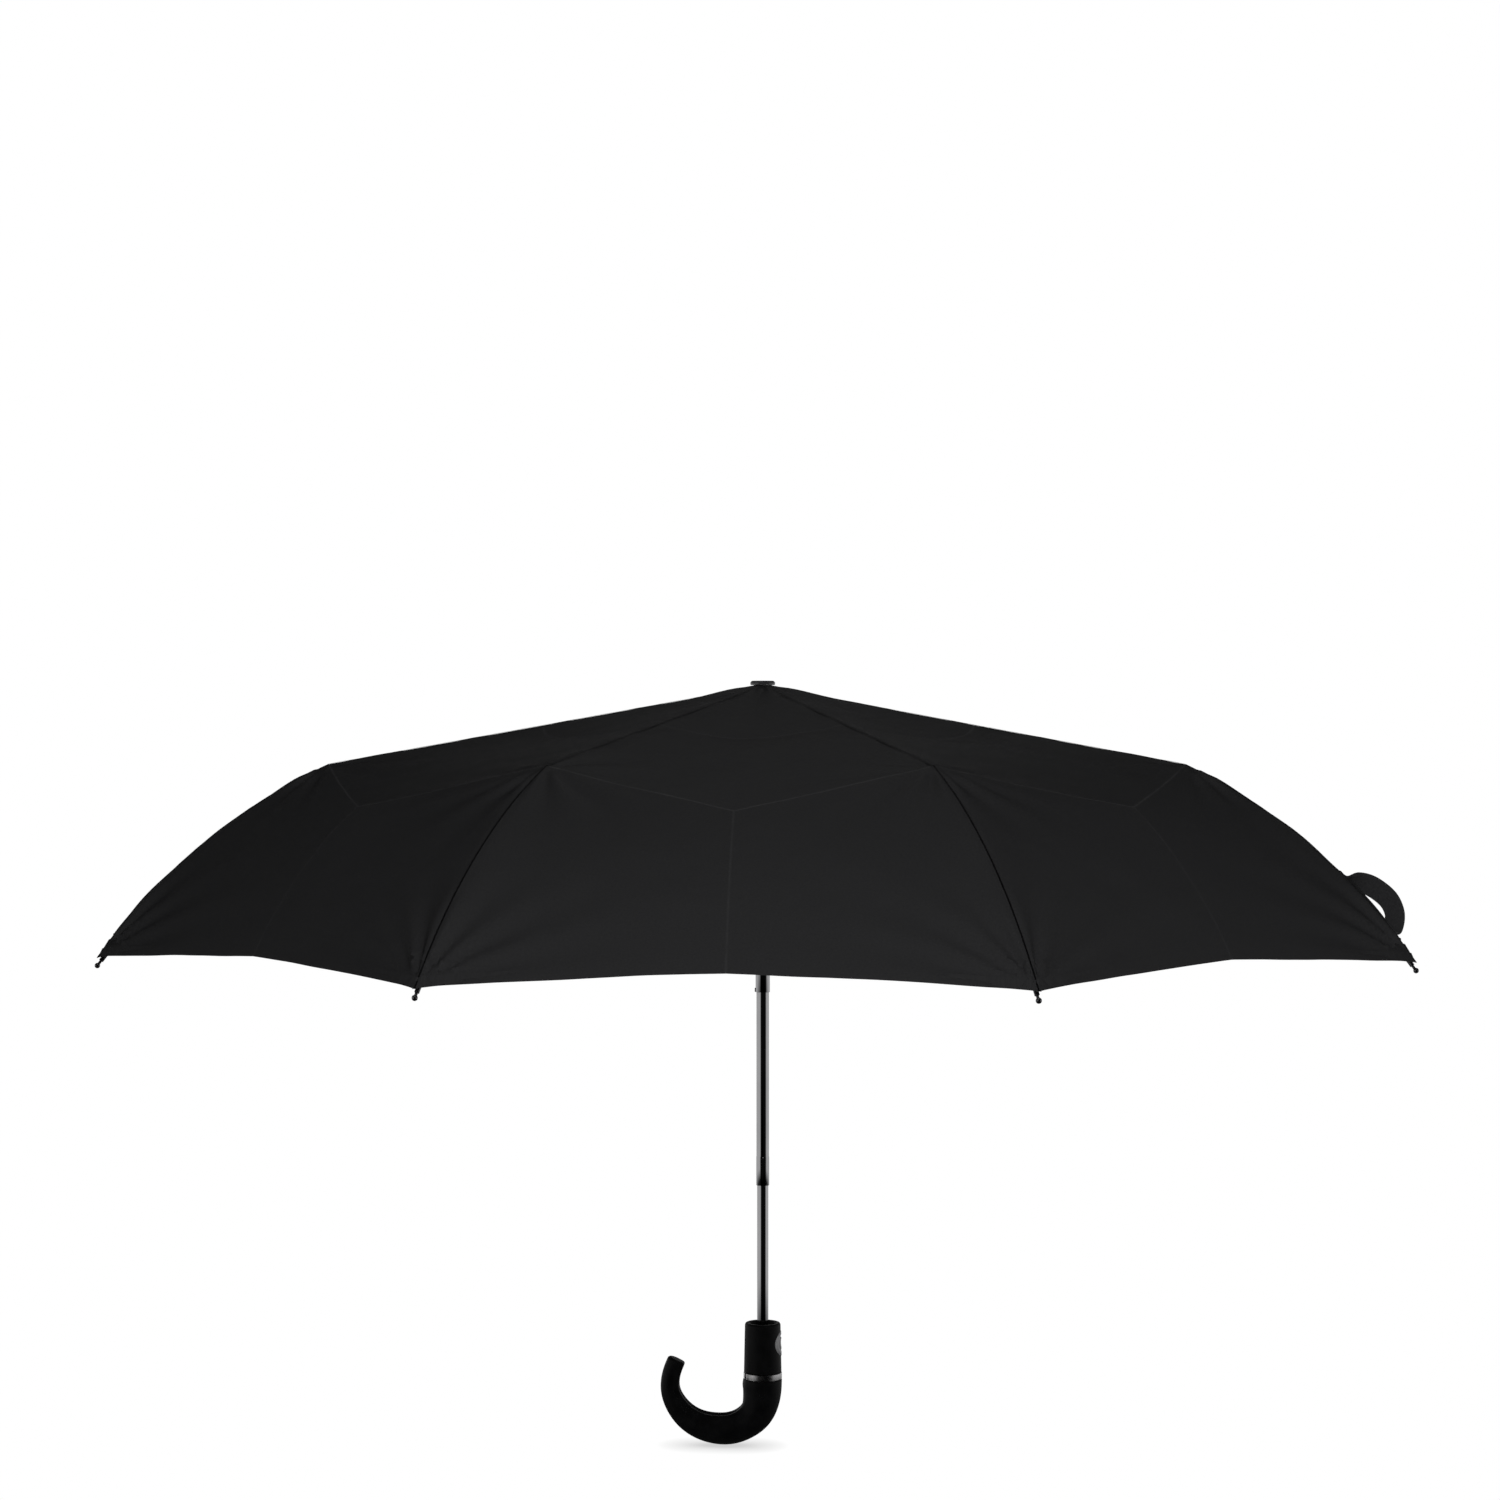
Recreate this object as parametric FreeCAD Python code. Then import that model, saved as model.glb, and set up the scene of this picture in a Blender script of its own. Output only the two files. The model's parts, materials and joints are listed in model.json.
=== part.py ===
import FreeCAD, Part
import math
import os

# Three-fold umbrella with a crook handle, modelled open.  Millimetres and degrees.
# The origin is on the shaft axis where the crook meets the trim ring.  +Z runs up the
# shaft, the hook bends towards -X and the release button faces +X.  Each rib is drawn in
# the X-Z plane (X outward, Y across the rib) and then turned about Z to its place.

# Ribs, measured along the rib from its inner pivot
RIBS = 8
FIRST_RIB = 22.5          # direction of rib 1, from +X towards +Y
CROWN_TOP = 513.6         # top face of the crown, under the fabric
SLOPE = 10.04             # fall of the inner and middle ribs when open
TOP_RIB = 163.0           # crown pivot to the first fold
MIDDLE_RIB = 161.0        # first fold to second fold
OUTER_ARC = 199.0         # second fold to the tip sleeve, along the curved rod
OUTER_RADIUS = 402.0      # bend of the curved rod
OUTER_START = 24.0        # fall of the curved rod where it leaves the second fold
STRETCHER_AT = 100.0      # stretcher pivot along the inner rib
STRETCHER_DROP = 3.0      # stretcher pivot below the rib's middle line
FOLD_RISE = 1.8           # first fold's pivot above the rib's middle line
SECOND_DROP = 2.0         # second fold's pivot below the rib's middle line
TAIL = 12.0               # lever arm that the connecting rod pulls
TAIL_ANGLE = 150.0        # tail direction, turned down and back from the middle rib

# Rib sections
RIB_HALF = 1.7            # half width of the channel ribs
RIB_TALL = 3.0
CHEEK = 0.5               # side wall of a channel
WEB = 0.6                 # top wall of a channel
RIB_START = 9.0           # the inner rib's channel starts here, outside the crown
FOLD_CLEAR = 4.0          # a channel stops this far before its fold
FOLD_OPEN = 6.0           # and its top wall this far before it
LINK = 5.0                # straps that carry the lugs past the channel's end
LINK_TALL = 1.4
STRETCHER_HALF = 1.5
STRETCHER_TALL = 2.4
STRETCHER_START = 8.0
STRETCHER_CLEAR = 10.0    # the stretcher's channel stops this far before its outer pivot
STRETCHER_TONGUE = 16.0
TAB_HALF = 0.6            # half thickness of the tabs in the crown and the runner
TAB_HALF_TALL = 1.1
TAB_LONG = 16.0
TAB_METAL = 0.5           # metal round the eye on a pivot wire
TONGUE_HALF = 0.9         # half thickness of the tongues at the folds
TONGUE_HALF_TALL = 1.0
MIDDLE_START = 6.0        # the middle rib's channel starts here, outside the first fold
NECK_LONG = 14.0          # tongue of the middle rib, with its joggle to the channel's width
NECK_JOGGLE = 4.0
NECK_LOW = 0.7            # neck above the channel's lower edge
NECK_TOP = 0.5            # neck below the channel's top
RIVET = 0.55              # rivet radius
RIVET_HEAD = 1.0
RIVET_HEAD_TALL = 0.2
PIN_GAP = 0.05            # running gap round each pivot pin
EYE_WALL = 0.85           # metal round a pivot hole in a tongue's lug
LUG_WALL = 0.95           # metal round a rivet in an ear
EYE_FLAT = 0.75           # metal round a pin in a wire's eye
SIDE_PLAY = 0.1           # sideways play of a pin's head
WIRE = 0.55               # connecting rod radius
WIRE_SIDE = RIB_HALF + WIRE + 0.3     # connecting rod, off the rib's mid plane
WIRE_FLAT = 0.1           # how much a wire's flattened eye is thinner each side
TENSION = 0.45
TENSION_SIDE = RIB_HALF + TENSION + 0.35  # tension wire, off the mid plane on the other side
TENSION_DROP = 4.6        # tension wire below the fold pivot
TENSION_SHORT = 2.0       # its loops' centres inside the rib's two folds
TENSION_LOOP = 1.1
TAIL_HALF_TALL = 0.9
TAIL_END = 1.2
ROD = 1.3                 # curved rod radius
FERRULE = 1.7
FERRULE_START = 6.0
FERRULE_LENGTH = 12.0
TIP_SLEEVE = 10.0
TIP_SLEEVE_RADIUS = 1.6
TIP_NECK = 3.0
TIP_BALL = 1.9
TIP_FLOOR = 1.0           # metal at the bottom of the sleeve's bore
OVERLAP = 2.0             # how far the rod's end fittings run into one another

# Canopy
FABRIC = 0.8              # thickness of the closed cloth layer
FABRIC_RISE = 4.6         # cloth above the middle line of the straight ribs
FABRIC_AT_TIP = 3.6       # cloth above the curved rod's end
FABRIC_SAG = 14.0         # bow of the outer cloth between second fold and hem corner
FABRIC_STATIONS = 5
SCALLOP = 12.0            # how far the hem rises between two tips
FABRIC_HOLE_GAP = 0.2
CROWN_LIFT = 1.6          # how far the crown pushes the cloth up above the ribs' line
CROWN_LIFT_OUT = 40.0     # radius where the cloth is back on that line

# Shaft
TUBE_INNER = 4.2          # outside radius of the inner tube
TUBE_WALL = 0.4
TUBE_GAP = 0.1
SWAGE = 0.15              # rise of the middle tube's lower sleeve
OUTER_WALL = 0.45
SLEEVE_TALL = 20.9
GUIDE_TALL = 10.0         # guide sleeve at the middle tube's top
INNER_FOOT = -20.0
INNER_TOP = 200.0
MIDDLE_FOOT = 144.5
MIDDLE_TALL = 179.0
OUTER_FOOT = 288.5
CATCH_TALL = 3.0
CATCH_HALF = 1.0
CATCH_OUT = 0.6
CATCH_ROOT = 0.3
NOTCH = 0.9
TUBE_MIDDLE_BORE = TUBE_INNER + TUBE_GAP
TUBE_MIDDLE = TUBE_MIDDLE_BORE + TUBE_WALL
TUBE_OUTER_BORE = TUBE_MIDDLE + SWAGE + TUBE_GAP / 2
TUBE_OUTER = TUBE_OUTER_BORE + OUTER_WALL

# Crown, runner and cap
RING_RADIUS = TUBE_OUTER + 2.25       # pivot wires of crown and runner
RING_WIRE = 0.5
RING_GAP = 0.08
CROWN_RADIUS = RING_RADIUS + 1.7
CROWN_TALL = 7.9
CROWN_ROOF = 0.7          # metal over the slots
CROWN_SOCKET = 1.6        # top face of the crown above the shaft's end
CROWN_PIVOT_DROP = 2.7    # pivot wire below the crown's top face
SLOT = 1.5                # slot width for the tabs
SLOT_FLOOR = 0.95         # metal between the shaft bore and a slot's inner end
POST = TUBE_OUTER + 0.55
POST_ROOT = 1.0
CAP_RADIUS = CROWN_RADIUS
CAP_UNDER = 3.9           # underside of the cap above the crown's top face
CAP_TALL = 3.1
CAP_EDGE = 1.2
RUNNER_RADIUS = RING_RADIUS + 2.0
RUNNER_BELOW = 4.0
RUNNER_ABOVE = 3.5
RUNNER_SLEEVE = TUBE_OUTER + 1.85
RUNNER_SLEEVE_TALL = 14.0
RUNNER_SLOT_BELOW = 1.5
SHAFT_TOP = CROWN_TOP - CROWN_SOCKET

# Handle
RING_TALL = 5.5           # trim ring between crook and collar
TRIM_RADIUS = 14.3
TRIM_CHAMFER = 0.4
TRIM_SPLIT = 2.2
TRIM_SPLIT_AT = 208.0
COLLAR_FOOT = 14.0
COLLAR_TOP = 13.3
COLLAR_HIGH = 42.3        # level of the collar's rim
COLLAR_RIM = 1.0          # rounding of the rim
RECESS = TUBE_INNER + 5.3
RECESS_DEEP = 3.3
DECK = 1.5                # wall under the recess
CAVITY = 11.2
CAVITY_FOOT = 8.0
SPIGOT = 10.3
SPIGOT_DEEP = 6.0
SPIGOT_GAP = 0.15
SPIGOT_END = 1.0          # free depth below the spigot
BUTTON = 9.3
BUTTON_GAP = 0.2
BUTTON_HIGH = COLLAR_HIGH - 15.5      # level of the button's axis
BUTTON_BACK = 8.5
BUTTON_PROUD = 0.5
BUTTON_TRAVEL = 2.5
BUTTON_CUP = 7.5
BUTTON_FACE = 2.6         # material left behind the button's face
BUTTON_RINGS = (0.8, 0.55)            # outside of each groove, as a share of the radius
GROOVE_DEEP = 0.4
GROOVE_WIDE = 0.6
SPRING_RADIUS = 3.0
SPRING_WIRE = 0.3
SPRING_TURNS = 4
SPRING_PLAY = 0.05        # free length at each end of the button's spring
LATCH_FOOT = 11.5
LATCH_TALL = 2.0
LATCH_HALF = TUBE_INNER + 1.8
LATCH_BACK = TUBE_INNER + 2.3
LATCH_GAP = 0.5
LEG = 1.0
LEG_HALF = 4.0
LEG_TOP = BUTTON_HIGH - 7.5            # the latch's leg, behind the button's lower edge
HANDLE_PIN = 1.5
HANDLE_PIN_LOW = 9.3
HANDLE_PIN_HALF = 13.0
HANDLE_PIN_RECESS = 2.2
DRIVE_WIRE = 0.35
DRIVE_RADIUS = TUBE_INNER - TUBE_WALL - 2 * DRIVE_WIRE
DRIVE_FOOT = -5.0
DRIVE_TOP = 150.0
DRIVE_TURNS = 20
CROOK_BORE_DEEP = 22.0
CROOK_END_ROUND = 2.0
# Middle line of the crook: x, z and the radius of its round section
CROOK = [
    (0.0, 0.0, 14.3),
    (-0.2, -10.0, 14.4),
    (-4.2, -26.2, 12.7),
    (-19.3, -36.9, 11.3),
    (-32.0, -38.3, 11.1),
    (-47.5, -35.3, 10.0),
    (-60.5, -26.3, 8.7),
    (-69.0, -12.5, 7.3),
    (-70.0, -3.5, 6.7),
    (-68.0, 6.3, 6.8),
    (-64.3, 13.9, 6.7),
]

# Closing strap, on the cloth beside the tip of the last rib
STRAP_RIB = 8
STRAP_ALONG = 165.0       # distance along the curved rod
STRAP_SIDE = 16.0         # off the rib, along the panel
STRAP_LIFT = 2.0
STRAP_WIDE = 16.0
STRAP_THICK = 1.0
STRAP_LOOP = 4.0          # inside radius of the loop's ends
STRAP_REACH = 14.0        # between the centres of the loop's ends
STRAP_PAD = 14.0
STRAP_PAD_EXTRA = 2.0     # the sewn patch is longer than wide
STRAP_PAD_TALL = 1.2

CLEAR = 9.0               # how far a cutting shape reaches past the metal
NEAR = 0.01


def vec(x, y, z):
    return FreeCAD.Vector(x, y, z)


def block(x0, x1, y0, y1, z0, z1):
    return Part.makeBox(x1 - x0, y1 - y0, z1 - z0, vec(x0, y0, z0))


def bar(start, end, radius):
    along = end - start
    return Part.makeCylinder(radius, along.Length, start, along)


def post(radius, z0, z1):
    return Part.makeCylinder(radius, z1 - z0, vec(0, 0, z0))


def tube(outside, inside, z0, z1):
    return post(outside, z0, z1).cut(post(inside, z0 - 1, z1 + 1))


def cross(x, z, y0, y1, radius):
    """A short cylinder across the rib, for eyes, pins and holes."""
    return Part.makeCylinder(radius, y1 - y0, vec(x, y0, z), vec(0, 1, 0))


def join(first, *others):
    return first.fuse(list(others)).removeSplitter()


def tilt(shape, pivot, fall):
    """Puts a rib piece drawn along +X on its pivot, falling outward by the angle."""
    turned = shape.copy()
    turned.rotate(vec(0, 0, 0), vec(0, 1, 0), fall)
    turned.translate(vec(pivot[0], 0, pivot[1]))
    return turned


def spin(shape, azimuth):
    turned = shape.copy()
    turned.rotate(vec(0, 0, 0), vec(0, 0, 1), azimuth)
    return turned


def along(pivot, fall, out, up):
    """The point at a distance along and above a line that falls outward from a pivot."""
    angle = math.radians(fall)
    return (pivot[0] + out * math.cos(angle) + up * math.sin(angle),
            pivot[1] - out * math.sin(angle) + up * math.cos(angle))


def fall_between(start, end):
    return math.degrees(math.atan2(start[1] - end[1], end[0] - start[0]))


def distance(start, end):
    return math.hypot(end[0] - start[0], end[1] - start[1])


# Pivots in the rib plane, as (radius, height)
CROWN_PIVOT = (RING_RADIUS, CROWN_TOP - CROWN_PIVOT_DROP)
P_PIVOT = along(CROWN_PIVOT, SLOPE, STRETCHER_AT, -STRETCHER_DROP)
RUNNER_PIVOT = (RING_RADIUS, 2 * P_PIVOT[1] - CROWN_PIVOT[1])
STRETCHER = distance(P_PIVOT, RUNNER_PIVOT)
STRETCHER_FALL = fall_between(RUNNER_PIVOT, P_PIVOT)
A_PIVOT = along(CROWN_PIVOT, SLOPE, TOP_RIB, FOLD_RISE)
B_PIVOT = along(CROWN_PIVOT, SLOPE, TOP_RIB + MIDDLE_RIB, -SECOND_DROP)
E_PIVOT = along(RUNNER_PIVOT, STRETCHER_FALL, STRETCHER - TAIL, 0)
Q_PIVOT = along(A_PIVOT, SLOPE + TAIL_ANGLE, TAIL, 0)
ROD_FALL = fall_between(E_PIVOT, Q_PIVOT)
ROD_SPAN = distance(E_PIVOT, Q_PIVOT)
KNEE = along(CROWN_PIVOT, SLOPE, TOP_RIB + MIDDLE_RIB, FABRIC_RISE)
END_FALL = OUTER_START + math.degrees(OUTER_ARC / OUTER_RADIUS)


def outer_point(length, up=0.0):
    """A point on the curved rod at a length from the second fold, raised off the rod."""
    turn = min(length, OUTER_ARC) / OUTER_RADIUS
    fall = OUTER_START + math.degrees(turn)
    centre = along(B_PIVOT, OUTER_START, 0, -OUTER_RADIUS)
    on_arc = along(centre, fall, 0, OUTER_RADIUS)
    return along(on_arc, fall, max(length - OUTER_ARC, 0.0), up)


HEM = outer_point(OUTER_ARC + TIP_SLEEVE, FABRIC_AT_TIP)


def channel(start, end, half, low, high, cheek, web):
    """A pressed U section, open below."""
    outside = block(start, end, -half, half, low, high)
    inside = block(start - CLEAR, end + CLEAR, -half + cheek, half - cheek, low - CLEAR, high - web)
    return outside.cut(inside)


def ears(x, z, reach, radius, half, cheek):
    """A pair of lugs that carry a rivet, joined to the cheeks at the reach height."""
    lug = cross(x, z, -half, half, radius)
    low = min(z, reach)
    high = max(z, reach)
    lug = lug.fuse(block(x - radius, x + radius, -half, half, low, high))
    gap = block(x - CLEAR, x + CLEAR, -half + cheek, half - cheek, low - CLEAR, high + CLEAR)
    return lug.cut(gap)


def rivet(x, z, half):
    shank = cross(x, z, -half - RIVET_HEAD_TALL, half + RIVET_HEAD_TALL, RIVET)
    left = cross(x, z, -half - RIVET_HEAD_TALL, -half, RIVET_HEAD)
    right = cross(x, z, half, half + RIVET_HEAD_TALL, RIVET_HEAD)
    return join(shank, left, right)


def ring_eye(half):
    """Eye and hole that turn on the pivot wire of the crown or the runner."""
    radius = RING_WIRE + RING_GAP
    eye = cross(0, 0, -half, half, radius + TAB_METAL)
    return eye, cross(0, 0, -half - CLEAR, half + CLEAR, radius)


def drill(x, z, radius):
    return cross(x, z, -CLEAR, CLEAR, radius)


def link_straps(start, end, low, high):
    """The two cheeks of a channel carried on past its end."""
    straps = block(start, end, -RIB_HALF, RIB_HALF, low, high)
    gap = block(start - CLEAR, end + CLEAR, -RIB_HALF + CHEEK, RIB_HALF - CHEEK, low - CLEAR, high + CLEAR)
    return straps.cut(gap)


def top_rib():
    half_tall = RIB_TALL / 2
    body = channel(RIB_START, TOP_RIB - FOLD_CLEAR, RIB_HALF, -half_tall, half_tall, CHEEK, WEB)
    body = body.cut(block(TOP_RIB - FOLD_OPEN, TOP_RIB, -RIB_HALF + CHEEK, RIB_HALF - CHEEK, -CLEAR, CLEAR))
    eye, eye_hole = ring_eye(TAB_HALF)
    tab = block(0, TAB_LONG, -TAB_HALF, TAB_HALF, -TAB_HALF_TALL, TAB_HALF_TALL)
    stretcher_ears = ears(STRETCHER_AT, -STRETCHER_DROP, 0, RIVET + EYE_WALL, RIB_HALF, CHEEK)
    above = block(0, TOP_RIB, -CLEAR, CLEAR, half_tall - WEB, CLEAR)
    stretcher_ears = stretcher_ears.cut(above)
    fold_ears = ears(TOP_RIB, FOLD_RISE, -half_tall, RIVET + LUG_WALL, RIB_HALF, CHEEK)
    links = link_straps(TOP_RIB - LINK, TOP_RIB, -half_tall, half_tall)
    body = join(body, tab, eye, stretcher_ears, fold_ears, links).cut(eye_hole)
    body = body.cut(drill(STRETCHER_AT, -STRETCHER_DROP, RIVET))
    body = body.cut(drill(TOP_RIB, FOLD_RISE, RIVET))
    rivets = [rivet(STRETCHER_AT, -STRETCHER_DROP, RIB_HALF), rivet(TOP_RIB, FOLD_RISE, RIB_HALF)]
    return tilt(Part.Compound([body] + rivets), CROWN_PIVOT, SLOPE)


def stretcher():
    half_tall = STRETCHER_TALL / 2
    body = channel(STRETCHER_START, STRETCHER - STRETCHER_CLEAR, STRETCHER_HALF, -half_tall, half_tall,
                   CHEEK, WEB)
    eye, eye_hole = ring_eye(TAB_HALF)
    inner = block(0, TAB_LONG, -TAB_HALF, TAB_HALF, -TONGUE_HALF_TALL, TONGUE_HALF_TALL)
    outer = block(STRETCHER - STRETCHER_TONGUE, STRETCHER, -TONGUE_HALF, TONGUE_HALF,
                  -TONGUE_HALF_TALL, TONGUE_HALF_TALL)
    outer = outer.fuse(cross(STRETCHER, 0, -TONGUE_HALF, TONGUE_HALF, RIVET + EYE_FLAT))
    pad = cross(STRETCHER - TAIL, 0, -STRETCHER_HALF, STRETCHER_HALF, half_tall)
    body = join(body, inner, eye, outer, pad).cut(eye_hole)
    body = body.cut(drill(STRETCHER, 0, RIVET + PIN_GAP))
    body = body.cut(drill(STRETCHER - TAIL, 0, RING_WIRE + PIN_GAP))
    return tilt(body, RUNNER_PIVOT, STRETCHER_FALL)


def connecting_rod():
    eye = RIVET + EYE_FLAT
    near = WIRE_SIDE - WIRE + WIRE_FLAT
    far = WIRE_SIDE + WIRE - WIRE_FLAT
    body = bar(vec(0, WIRE_SIDE, 0), vec(ROD_SPAN, WIRE_SIDE, 0), WIRE)
    body = join(body, cross(0, 0, near, far, eye), cross(ROD_SPAN, 0, near, far, eye))
    back = -STRETCHER_HALF - RIVET_HEAD_TALL
    pin = cross(0, 0, back, near, RING_WIRE)
    head = cross(0, 0, back - RIVET_HEAD_TALL, -STRETCHER_HALF - SIDE_PLAY, RIVET_HEAD)
    stub = cross(ROD_SPAN, 0, TONGUE_HALF + SIDE_PLAY, near, RING_WIRE)
    return tilt(join(body, pin, head, stub), E_PIVOT, ROD_FALL)


def middle_rib():
    top = RIB_TALL / 2 - FOLD_RISE
    low = top - RIB_TALL
    drop = FOLD_RISE + SECOND_DROP
    lug = RIVET + PIN_GAP + EYE_WALL
    body = channel(MIDDLE_START, MIDDLE_RIB - FOLD_CLEAR, RIB_HALF, low, top, CHEEK, WEB)
    neck = block(0, NECK_LONG, -TONGUE_HALF, TONGUE_HALF, low + NECK_LOW, top - NECK_TOP)
    neck = neck.fuse(cross(0, 0, -TONGUE_HALF, TONGUE_HALF, lug))
    neck = neck.fuse(block(-lug, lug, -TONGUE_HALF, TONGUE_HALF, low + NECK_LOW, 0))
    neck = neck.fuse(block(NECK_LONG - NECK_JOGGLE, NECK_LONG, -RIB_HALF, RIB_HALF, top - WEB, top))
    tail = block(0, TAIL, -TONGUE_HALF, TONGUE_HALF, -TAIL_HALF_TALL, TAIL_HALF_TALL)
    tail = tail.fuse(cross(TAIL, 0, -TONGUE_HALF, TONGUE_HALF, TAIL_END))
    tail = tilt(tail, (0, 0), TAIL_ANGLE)
    second = ears(MIDDLE_RIB, -drop, low + TAIL_END, RIVET + LUG_WALL, RIB_HALF, CHEEK)
    links = link_straps(MIDDLE_RIB - LINK, MIDDLE_RIB + RIVET_HEAD, low, low + LINK_TALL)
    body = join(body, neck, tail, second, links)
    body = body.cut(drill(0, 0, RIVET + PIN_GAP))
    body = body.cut(drill(MIDDLE_RIB, -drop, RIVET))
    ends = [vec(x, -TENSION_SIDE, -TENSION_DROP) for x in (TENSION_SHORT, MIDDLE_RIB - TENSION_SHORT)]
    flat = TENSION - WIRE_FLAT
    loops = [cross(end.x, end.z, end.y - flat, end.y + flat, TENSION_LOOP) for end in ends]
    wire = join(bar(ends[0], ends[1], TENSION), *loops)
    second_rivet = rivet(MIDDLE_RIB, -drop, RIB_HALF)
    return tilt(Part.Compound([body, second_rivet, wire]), A_PIVOT, SLOPE)


def curved_rod(start, end, radius):
    """A stretch of the curved rod, as a round bar bent on the rod's own circle."""
    fall = math.radians(OUTER_START + math.degrees(start / OUTER_RADIUS))
    begin = outer_point(start)
    centre = along(B_PIVOT, OUTER_START, 0, -OUTER_RADIUS)
    section = Part.Circle(vec(begin[0], 0, begin[1]), vec(math.cos(fall), 0, -math.sin(fall)), radius)
    face = Part.Face(Part.Wire(section.toShape()))
    turn = math.degrees((end - start) / OUTER_RADIUS)
    return face.revolve(vec(centre[0], 0, centre[1]), vec(0, 1, 0), turn)


def outer_rib():
    lug = RIVET + PIN_GAP + EYE_WALL
    tongue = block(0, FERRULE_START + OVERLAP, -TONGUE_HALF, TONGUE_HALF, -TAB_HALF_TALL, TAB_HALF_TALL)
    tongue = tongue.fuse(cross(0, 0, -TONGUE_HALF, TONGUE_HALF, lug))
    tongue = tilt(tongue, B_PIVOT, OUTER_START)
    ferrule = curved_rod(FERRULE_START, FERRULE_START + FERRULE_LENGTH, FERRULE)
    rod = curved_rod(FERRULE_START + OVERLAP / 2, OUTER_ARC, ROD)
    start = outer_point(OUTER_ARC)
    end = outer_point(OUTER_ARC + TIP_SLEEVE - TIP_FLOOR)
    straight = bar(vec(start[0], 0, start[1]), vec(end[0], 0, end[1]), ROD)
    body = join(tongue, ferrule, rod, straight)
    body = body.cut(drill(B_PIVOT[0], B_PIVOT[1], RIVET + PIN_GAP))
    outward = vec(1, 0, 0)
    sleeve = Part.makeCylinder(TIP_SLEEVE_RADIUS, TIP_SLEEVE, vec(0, 0, 0), outward)
    neck_start = vec(TIP_SLEEVE - TIP_FLOOR, 0, 0)
    neck = Part.makeCylinder(TIP_BALL / 2, TIP_NECK + 2 * TIP_FLOOR, neck_start, outward)
    ball = Part.makeSphere(TIP_BALL, vec(TIP_SLEEVE + TIP_NECK + TIP_FLOOR, 0, 0))
    bore = Part.makeCylinder(ROD, TIP_SLEEVE - TIP_FLOOR, vec(0, 0, 0), outward)
    tip = tilt(join(sleeve, neck, ball).cut(bore), start, END_FALL)
    return Part.Compound([body, tip])


def fabric_profile():
    """Ridge of the cloth over a rib: crown hole, knee, then a bowed run to the hem."""
    hole = (POST + FABRIC_HOLE_GAP) / math.cos(math.radians(180 / RIBS))
    fall = math.tan(math.radians(SLOPE))
    top = (hole, KNEE[1] + (KNEE[0] - hole) * fall + CROWN_LIFT)
    shoulder = (CROWN_LIFT_OUT, KNEE[1] + (KNEE[0] - CROWN_LIFT_OUT) * fall)
    points = [top, shoulder, KNEE]
    span = distance(KNEE, HEM)
    radius = span ** 2 / (8 * FABRIC_SAG) + FABRIC_SAG / 2
    half_turn = math.degrees(math.asin(span / 2 / radius))
    start = fall_between(KNEE, HEM) - half_turn
    centre = along(KNEE, start, 0, -radius)
    for step in range(1, FABRIC_STATIONS + 1):
        fall = start + 2 * half_turn * step / FABRIC_STATIONS
        points.append(along(centre, fall, 0, radius))
    return points


def ridge_point(point, azimuth):
    angle = math.radians(azimuth)
    return vec(point[0] * math.cos(angle), point[0] * math.sin(angle), point[1])


def canopy():
    """Eight cloth panels that meet over the ribs, each a closed layer."""
    profile = fabric_profile()
    step = 360 / RIBS
    left = [ridge_point(point, -step / 2) for point in profile]
    right = [ridge_point(point, step / 2) for point in profile]
    bands = []
    for row in range(len(profile) - 1):
        corners = [left[row], right[row], right[row + 1], left[row + 1]]
        edges = [Part.makeLine(corners[3], corners[0]), Part.makeLine(corners[0], corners[1]),
                 Part.makeLine(corners[1], corners[2])]
        if row < len(profile) - 2:
            edges.append(Part.makeLine(corners[2], corners[3]))
        else:
            up = (corners[0] + corners[1] - corners[2] - corners[3]).normalize()
            middle = (corners[2] + corners[3]) * 0.5 + up * SCALLOP
            edges.append(Part.Arc(corners[2], middle, corners[3]).toShape())
        face = Part.Face(Part.Wire(edges))
        bands.append(face.extrude(vec(0, 0, -FABRIC)))
    panel = join(bands[0], *bands[1:])
    return Part.Compound([spin(panel, FIRST_RIB + step / 2 + step * k) for k in range(RIBS)])


def inner_tube():
    body = tube(TUBE_INNER, TUBE_INNER - TUBE_WALL, INNER_FOOT, INNER_TOP)
    return body.cut(drill(0, -HANDLE_PIN_LOW, HANDLE_PIN))


def middle_tube():
    top = MIDDLE_FOOT + MIDDLE_TALL
    sleeve = tube(TUBE_MIDDLE + SWAGE, TUBE_MIDDLE_BORE, MIDDLE_FOOT, MIDDLE_FOOT + SLEEVE_TALL)
    guide = tube(TUBE_MIDDLE + SWAGE, TUBE_MIDDLE_BORE, top - GUIDE_TALL, top)
    body = join(tube(TUBE_MIDDLE, TUBE_MIDDLE_BORE, MIDDLE_FOOT, top), sleeve, guide)
    notch = cross(TUBE_MIDDLE_BORE, MIDDLE_FOOT + SLEEVE_TALL, -CLEAR, 0, NOTCH)
    return body.cut(notch)


def outer_tube():
    body = tube(TUBE_OUTER, TUBE_OUTER_BORE, OUTER_FOOT, SHAFT_TOP)
    catch = block(-TUBE_OUTER - CATCH_OUT, -TUBE_OUTER + CATCH_ROOT, -CATCH_HALF, CATCH_HALF,
                  OUTER_FOOT, OUTER_FOOT + CATCH_TALL)
    return join(body, catch)


def slots(x0, z0, z1):
    cut = block(x0, RUNNER_RADIUS + CLEAR, -SLOT / 2, SLOT / 2, z0, z1)
    return [spin(cut, FIRST_RIB + 360 / RIBS * k) for k in range(RIBS)]


def pivot_wire(height, radius):
    return Part.makeTorus(RING_RADIUS, radius, vec(0, 0, height))


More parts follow.
